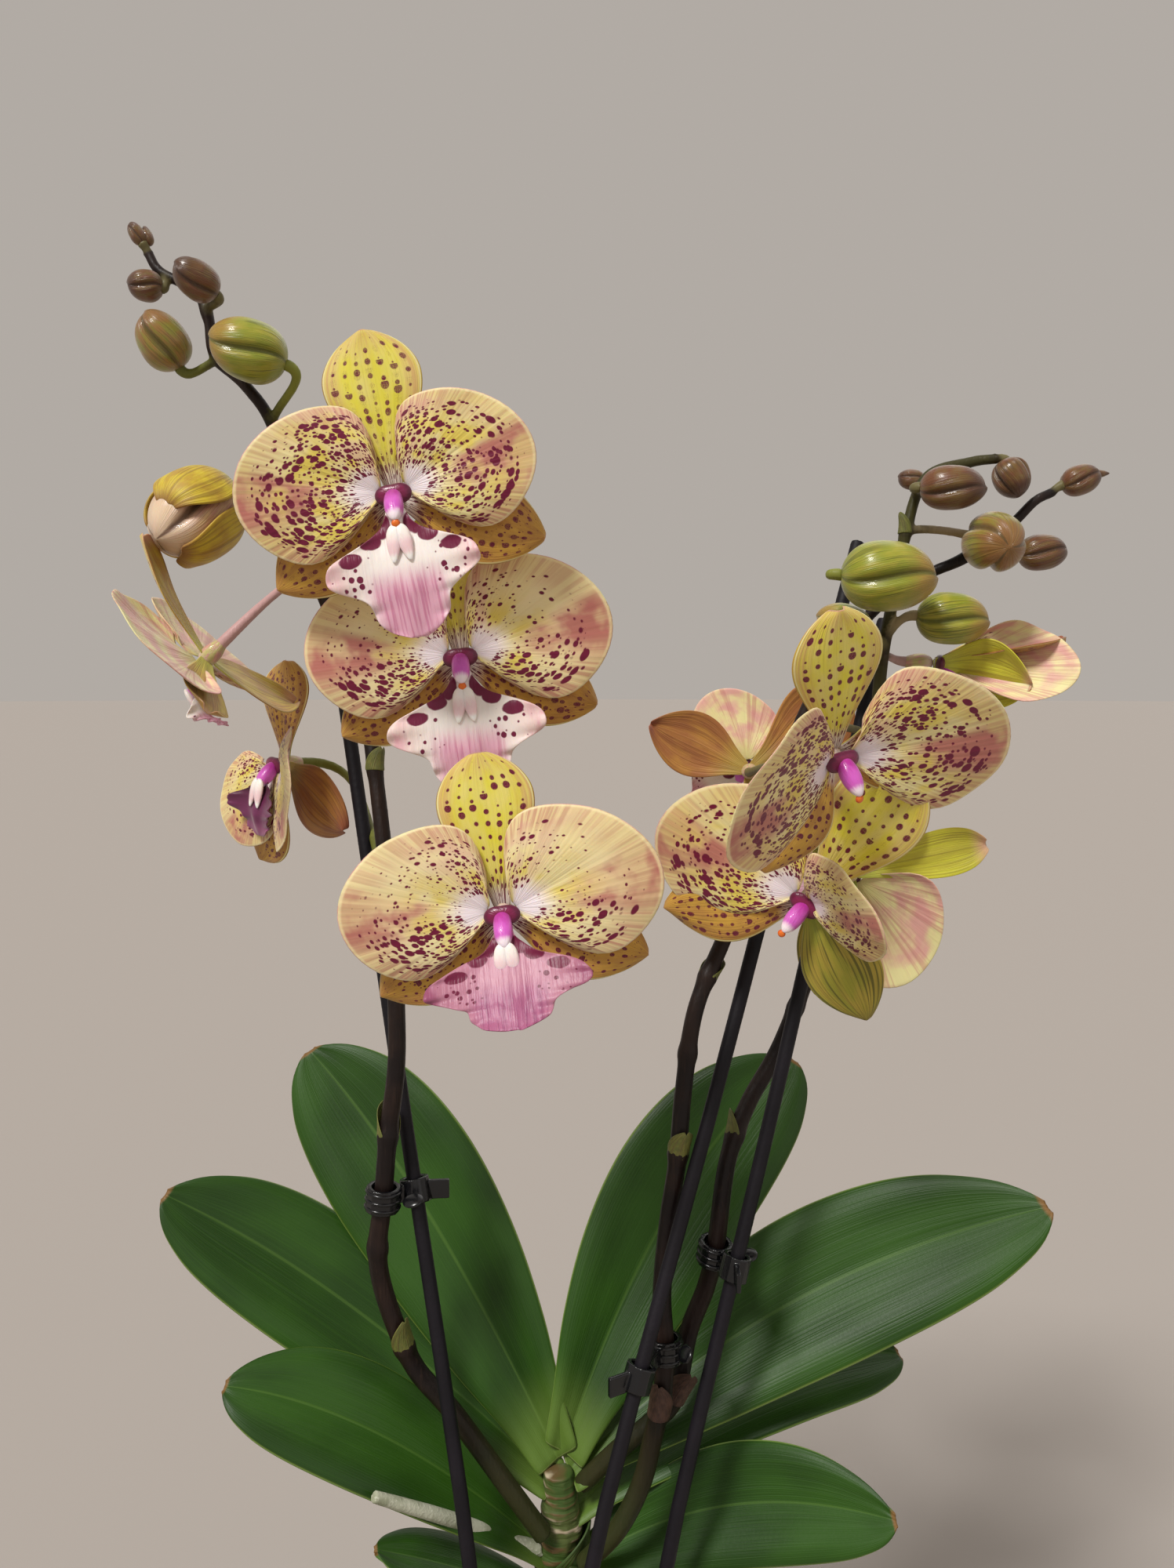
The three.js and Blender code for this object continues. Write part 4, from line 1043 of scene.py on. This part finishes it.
stemLook = {"dark": "140c0b", "brown": "241712", "green": "8a8f3c", "pink": "c9a0a0", "foot": "4c5a28"}


def stemFinish(look):
    finish = Finish("stemSkin", {"Specular IOR Level": 0.25})
    green, pink, _ = finish.growth()
    place = finish.place()
    x, y, z = finish.split(place)
    long = finish.noise(finish.join(x * 900, y * 900, z * 60), 1.0, 3.0)
    cloud = finish.noise(place, 60.0, 3.0)
    colour = finish.blend(cloud.between(0.35, 0.65), look["dark"], look["brown"])
    colour = colour.toward(long.between(0.55, 0.75) * 0.35, "3a2a20")
    colour = colour.toward((1 - z.between(0.16, 0.24)) * 0.35, look["foot"])
    colour = colour.toward(green, look["green"])
    colour = colour.toward(pink, look["pink"])
    return finish.wear(Base_Color=colour, Roughness=0.38 + long * 0.2,
                       Normal=finish.bump(long + cloud, 0.0004, 0.5))


def bractFinish(name, ground, shade):
    finish = Finish(name, {"Roughness": 0.6})
    along, turn, seed = finish.growth()
    lines = finish.noise(finish.join(along, turn * 22, seed), 1.0, 2.0)
    cloud = finish.noise(finish.join(along * 3, turn * 3, seed), 1.5, 3.0)
    colour = finish.blend(cloud.between(0.3, 0.7), ground, shade)
    colour = colour.toward(lines.between(0.5, 0.65) * 0.5, "5b3a28")
    return finish.wear(Base_Color=colour, Normal=finish.bump(lines, 0.0006, 0.6))


stemSkin = stemFinish(stemLook)
bractSkins = {"green": bractFinish("greenBract", "6f7030", "59602a"),
              "paper": bractFinish("paperBract", "5a4034", "3c2820")}
for name, look in spikes.items():
    makeSpike(name, look)
print("stems")


def crownFinish():
    finish = Finish("crownSkin", {"Roughness": 0.6})
    place = finish.place()
    x, y, z = finish.split(place)
    cloud = finish.noise(place, 90.0, 3.0)
    rings = finish.noise(finish.join(x * 60, y * 60, z * 420), 1.0, 2.0)
    colour = finish.blend(cloud.between(0.4, 0.6), "3a521b", "505c2c")
    colour = colour.toward(rings.between(0.52, 0.62) * 0.7, "6b4a30")
    colour = colour.toward((rings * 0.5 + cloud * 0.5).between(0.56, 0.64) * 0.7, "cdbfa4")
    return finish.wear(Base_Color=colour, Normal=finish.bump(rings + cloud, 0.0012, 0.8))


def rootFinish():
    finish = Finish("rootSkin", {"Roughness": 0.75})
    place = finish.place()
    cloud = finish.noise(place, 120.0, 4.0)
    fine = finish.noise(place, 900.0, 3.0)
    colour = finish.blend(cloud.between(0.35, 0.65), "b9bba6", "8f9479")
    colour = colour.toward(fine.between(0.55, 0.7) * 0.5, "d8d8c8")
    return finish.wear(Base_Color=colour, Normal=finish.bump(cloud + fine * 0.4, 0.0008, 0.7))


def blackFinish(name, shade, rough, grainScale, gloss):
    finish = Finish(name, {"Specular IOR Level": gloss})
    place = finish.place()
    x, y, z = finish.split(place)
    cloud = finish.noise(place, 70.0, 3.0)
    grain = finish.noise(finish.join(x * grainScale, y * grainScale, z * grainScale * 0.12), 1.0, 3.0)
    colour = finish.blend(cloud.between(0.3, 0.7), shade[0], shade[1])
    return finish.wear(Base_Color=colour, Roughness=rough + grain * 0.14,
                       Normal=finish.bump(grain, 0.0002, 0.5))


# above level, in mm, the crown is pressed down by the share lower; a lump is its side and height in mm
crownForm = {"level": 58, "lower": 0.5, "lumps": ((1, 30), (-1, 52), (1, 70), (-1, 86))}
# each sheath's height in mm, its heading in degrees, and its length and radius in mm
sheaths = ((12, 175, 30, 9.6), (28, 10, 30, 9.2), (44, 185, 24, 8.8), (50, 95, 18, 8.6))
sheathForm = {"rows": 14, "columns": 18, "thick": 0.7}
sheathSkin = bractFinish("sheathSkin", "3a5219", "2e4414")


def makeCrown():
    lumps = [(plantFoot + Vector((side * 6, -3, level)) * mm, 5, 1.2) for side, level in crownForm["lumps"]]
    crown = softCopy("crown", "crown_stem", 0.8, 5, 0.1, lumps)
    for vert in crown.data.vertices:
        above = vert.co.z - plantFoot.z - crownForm["level"] * mm
        if above > 0:
            vert.co.z -= above * crownForm["lower"]
    settle(crown, [crownFinish()], ["crown"])
    for index, (level, heading, length, radius) in enumerate(sheaths):
        bm = newMesh()
        place = Matrix.Translation(plantFoot) @ moved(-2, 0, level) @ about("Z", heading)
        addSheet(bm, bractShape(radius, length), sheathForm, index, place, (0, 0))
        addPiece(bm, f"crown_sheath_{index + 1}", [sheathSkin], [])


makeCrown()

# for each slot: its finish, the end of its pieces' names, the softening and the solids it softens
copies = {
    "root": (rootFinish(), "skin", (0.6, 6, 0.1),
             ("root_aerial_left", "root_aerial_front", "root_aerial_right", "root_aerial_back")),
    "stake": (blackFinish("stakeSkin", ("0e0b11", "161219"), 0.5, 900, 0.25), "rod", (0.5, 6, 0.12),
              ("stake_left", "stake_middle", "stake_right")),
    "clip": (blackFinish("clipSkin", ("08080a", "101014"), 0.16, 500, 0.5), "claw", (0.28, 4, 0.05),
             ("clip_left", "clip_middle", "clip_right")),
}
# the spike each clip holds, its height on the stem in mm, and the way its thumb plate stands out
clipRibs = {
    "clip_left": ("spike_left", 191, (0.9, -0.4, 0.1)),
    "clip_middle": ("spike_middle", 138, (0.5, -0.8, 0.3)),
    "clip_right": ("spike_right", 166, (0.9, -0.4, 0.1)),
}


def addRibs(name, skin, spike, level, out):
    # three ribs on the ring round the stem, and a rounded thumb plate
    spot, way, radius = stemAt(smoothPath(spikes[spike]["path"]), level)
    radius += 2.4
    turn = turnTo(way)
    bm = bmesh.new()
    for step in (-2.6, 0, 2.6):
        ring = [spot + turn @ Vector((radius * math.cos(angle), radius * math.sin(angle), step))
                for angle in (index * math.pi / 16 for index in range(33))]
        addRod(bm, ring, [0.55] * len(ring))
    for face in bm.faces:
        face.smooth = True
        face.material_index = 0
    settle(newObject(name + "_ribs", bm), [skin], [])
    bm = newMesh()
    spot = spot + Vector(out).normalized() * (radius + 6)
    plate = Matrix.Translation(plantFoot + spot * mm) @ turnTo(out)
    addBlob(bm, lambda unit: (1.1 * unit.x, 3.1 * unit.y, 3.6 * unit.z), 0, plate, 0, 20, 14)
    addPiece(bm, name + "_plate", [skin], [])


for slotName, (skin, ending, softening, names) in copies.items():
    for name in names:
        settle(softCopy(name, f"{name}_{ending}", *softening), [skin], [name])
        if name in clipRibs:
            addRibs(name, skin, *clipRibs[name])
print("crown, roots, stakes and clips")

potForm = {"height": 120, "rim": 60, "foot": 44, "wall": 2.4, "floor": 3, "blushAndShadeBand": 13, "step": 2, "holes": 6,
           "hole": 4, "holeRing": 27}


def spun(bm, profile, steps=96):
    # a body turned about Z from (radius, height) pairs in mm that start and end on the axis
    verts = [bm.verts.new((radius * mm, 0, height * mm)) for radius, height in profile]
    edges = [bm.edges.new(pair) for pair in zip(verts, verts[1:])]
    bmesh.ops.spin(bm, geom=verts + edges, cent=(0, 0, 0), axis=(0, 0, 1), angle=2 * math.pi, steps=steps,
                   use_merge=True)
    bmesh.ops.remove_doubles(bm, verts=bm.verts, dist=1e-7)
    bmesh.ops.recalc_face_normals(bm, faces=bm.faces)


def potFinish():
    finish = Finish("potGlaze", {"Coat Weight": 0.5, "Coat Roughness": 0.12})
    place = finish.place()
    cloud = finish.noise(place, 40.0, 4.0)
    fine = finish.noise(place, 700.0, 3.0)
    colour = finish.blend(cloud.between(0.3, 0.7), "dad5ca", "cfc9bc")
    colour = colour.toward(fine.between(0.66, 0.74) * 0.5, "a59c8b")
    return finish.wear(Base_Color=colour, Roughness=0.28 + cloud * 0.12,
                       Normal=finish.bump(cloud + fine * 0.1, 0.0006, 0.3))


def outerAt(height):
    spread = potForm["rim"] - potForm["step"] - potForm["foot"]
    return potForm["foot"] + spread * height / potForm["height"]


def makePot():
    form = potForm
    blushAndShadeBand = form["height"] - form["blushAndShadeBand"]
    bm = bmesh.new()
    spun(bm, [(0, 0), (outerAt(0) - 1, 0), (outerAt(0), 1), (outerAt(blushAndShadeBand), blushAndShadeBand),
              (form["rim"] - 0.4, blushAndShadeBand + form["step"] - 0.4),
              (form["rim"], blushAndShadeBand + form["step"]), (form["rim"], form["height"] - 0.8),
              (form["rim"] - 0.5, form["height"]),
              (outerAt(form["height"]) - form["wall"] + 0.4, form["height"]),
              (outerAt(form["height"]) - form["wall"], form["height"] - 0.6),
              (outerAt(form["floor"]) - form["wall"], form["floor"]), (0, form["floor"])])
    drills = bmesh.new()
    for hole in range(form["holes"]):
        turn = 2 * math.pi * hole / form["holes"]
        spot = Vector((form["holeRing"] * math.cos(turn), form["holeRing"] * math.sin(turn), 1.5)) * mm
        bmesh.ops.create_cone(drills, cap_ends=True, segments=24, radius1=form["hole"] * mm,
                              radius2=form["hole"] * mm,
                              depth=12 * mm, matrix=Matrix.Translation(spot))
    pot, drill = newObject("pot_body", bm), newObject("drills", drills)
    cut = pot.modifiers.new("holes", "BOOLEAN")
    cut.object = drill
    cut.operation = "DIFFERENCE"
    cut.solver = "EXACT"
    solved = solvedMesh(pot)
    pot.modifiers.clear()
    pot.data = solved
    bpy.data.objects.remove(drill)
    solved.materials.clear()
    for face in solved.polygons:
        face.use_smooth = abs(face.normal.z) < 0.9
        face.material_index = 0
    settle(pot, [potFinish()], ["pot"])


makePot()

barkForm = {"chips": 260, "level": 106, "size": (4, 9), "room": 50}


def barkFinish():
    finish = Finish("barkChips", {"Roughness": 0.85})
    place = finish.place()
    cloud = finish.noise(place, 110.0, 4.0)
    fine = finish.noise(place, 900.0, 4.0)
    colour = finish.blend(cloud.between(0.35, 0.65), "6b4528", "3c2618")
    colour = colour.toward(fine.between(0.55, 0.7) * 0.6, "9a6c44")
    return finish.wear(Base_Color=colour, Normal=finish.bump(cloud + fine * 0.6, 0.0014, 0.8))


def makeBark():
    chance = random.Random(7)
    form = barkForm
    floor = potForm["floor"] + 0.3
    bm = bmesh.new()
    side = outerAt(form["level"]) - potForm["wall"] - 0.4
    spun(bm, [(0, floor), (outerAt(floor) - potForm["wall"] - 0.4, floor), (side, form["level"] - 3),
              (side * 0.55, form["level"] - 1),
              (0, form["level"] - 2)], 64)
    for _ in range(form["chips"]):
        turn = chance.uniform(0, 2 * math.pi)
        out = form["room"] * math.sqrt(chance.random())
        size = chance.uniform(*form["size"])
        spot = Vector((out * math.cos(turn), out * math.sin(turn),
                       form["level"] - 1.5 + chance.uniform(-1.5, 2.5))) * mm
        tumble = about("Z", chance.uniform(0, 360)) @ about("X", chance.uniform(-35, 35))
        tumble = tumble @ about("Y", chance.uniform(-30, 30))
        flat = Matrix.Diagonal((size * mm, size * mm * chance.uniform(0.5, 0.8),
                                size * mm * chance.uniform(0.25, 0.4), 1))
        made = bmesh.ops.create_icosphere(bm, subdivisions=1, radius=1,
                                          matrix=Matrix.Translation(spot) @ tumble @ flat)["verts"]
        for vert in made:
            vert.co += Vector([chance.uniform(-0.22, 0.22) * size * mm for _ in range(3)])
    settle(newObject("bark_chips", bm), [barkFinish()], ["bark"])


makeBark()
print("pot and bark")

studio = {"floor": "a49d97", "world": "dad2ca", "worldPower": 0.63}
lamps = {
    "key": {"from": (-0.55, -0.75, 1.1), "power": 2.9, "angle": 14, "colour": (1, 0.98, 0.95)},
    "fill": {"from": (1.0, -0.9, 0.5), "power": 0.25, "angle": 60, "colour": (0.97, 0.98, 1)},
    "back": {"from": (0.4, 0.9, 0.9), "power": 0.4, "angle": 50, "colour": (1, 1, 1)},
}


def makeStage():
    bm = bmesh.new()
    bmesh.ops.create_circle(bm, cap_ends=True, segments=64, radius=30)
    floor = newObject("floor", bm)
    finish = Finish("floorPaint", {"Base Color": tint(studio["floor"]), "Roughness": 0.9,
                                   "Specular IOR Level": 0.1})
    floor.data.materials.append(finish.material)
    world = bpy.data.worlds.new("studio")
    world.use_nodes = True
    sky = world.node_tree.nodes["Background"].inputs
    sky["Color"].default_value = tint(studio["world"])
    sky["Strength"].default_value = studio["worldPower"]
    scene.world = world
    for name, look in lamps.items():
        data = bpy.data.lights.new(name, "SUN")
        data.energy = look["power"]
        data.angle = math.radians(look["angle"])
        data.color = look["colour"]
        lamp = bpy.data.objects.new(name, data)
        lamp.rotation_euler = Vector(look["from"]).to_track_quat("Z", "Y").to_euler()
        scene.collection.objects.link(lamp)


makeStage()

cameraData = bpy.data.cameras.new("camera")
cameraData.sensor_fit = "VERTICAL"
cameraData.sensor_height = 36
cameraData.lens = 27.02
camera = bpy.data.objects.new("camera", cameraData)
camera.location = (0.007, -0.369, 0.466)
camera.rotation_euler = (math.radians(85), 0, 0)
scene.collection.objects.link(camera)
scene.camera = camera
scene.view_settings.view_transform = "Standard"
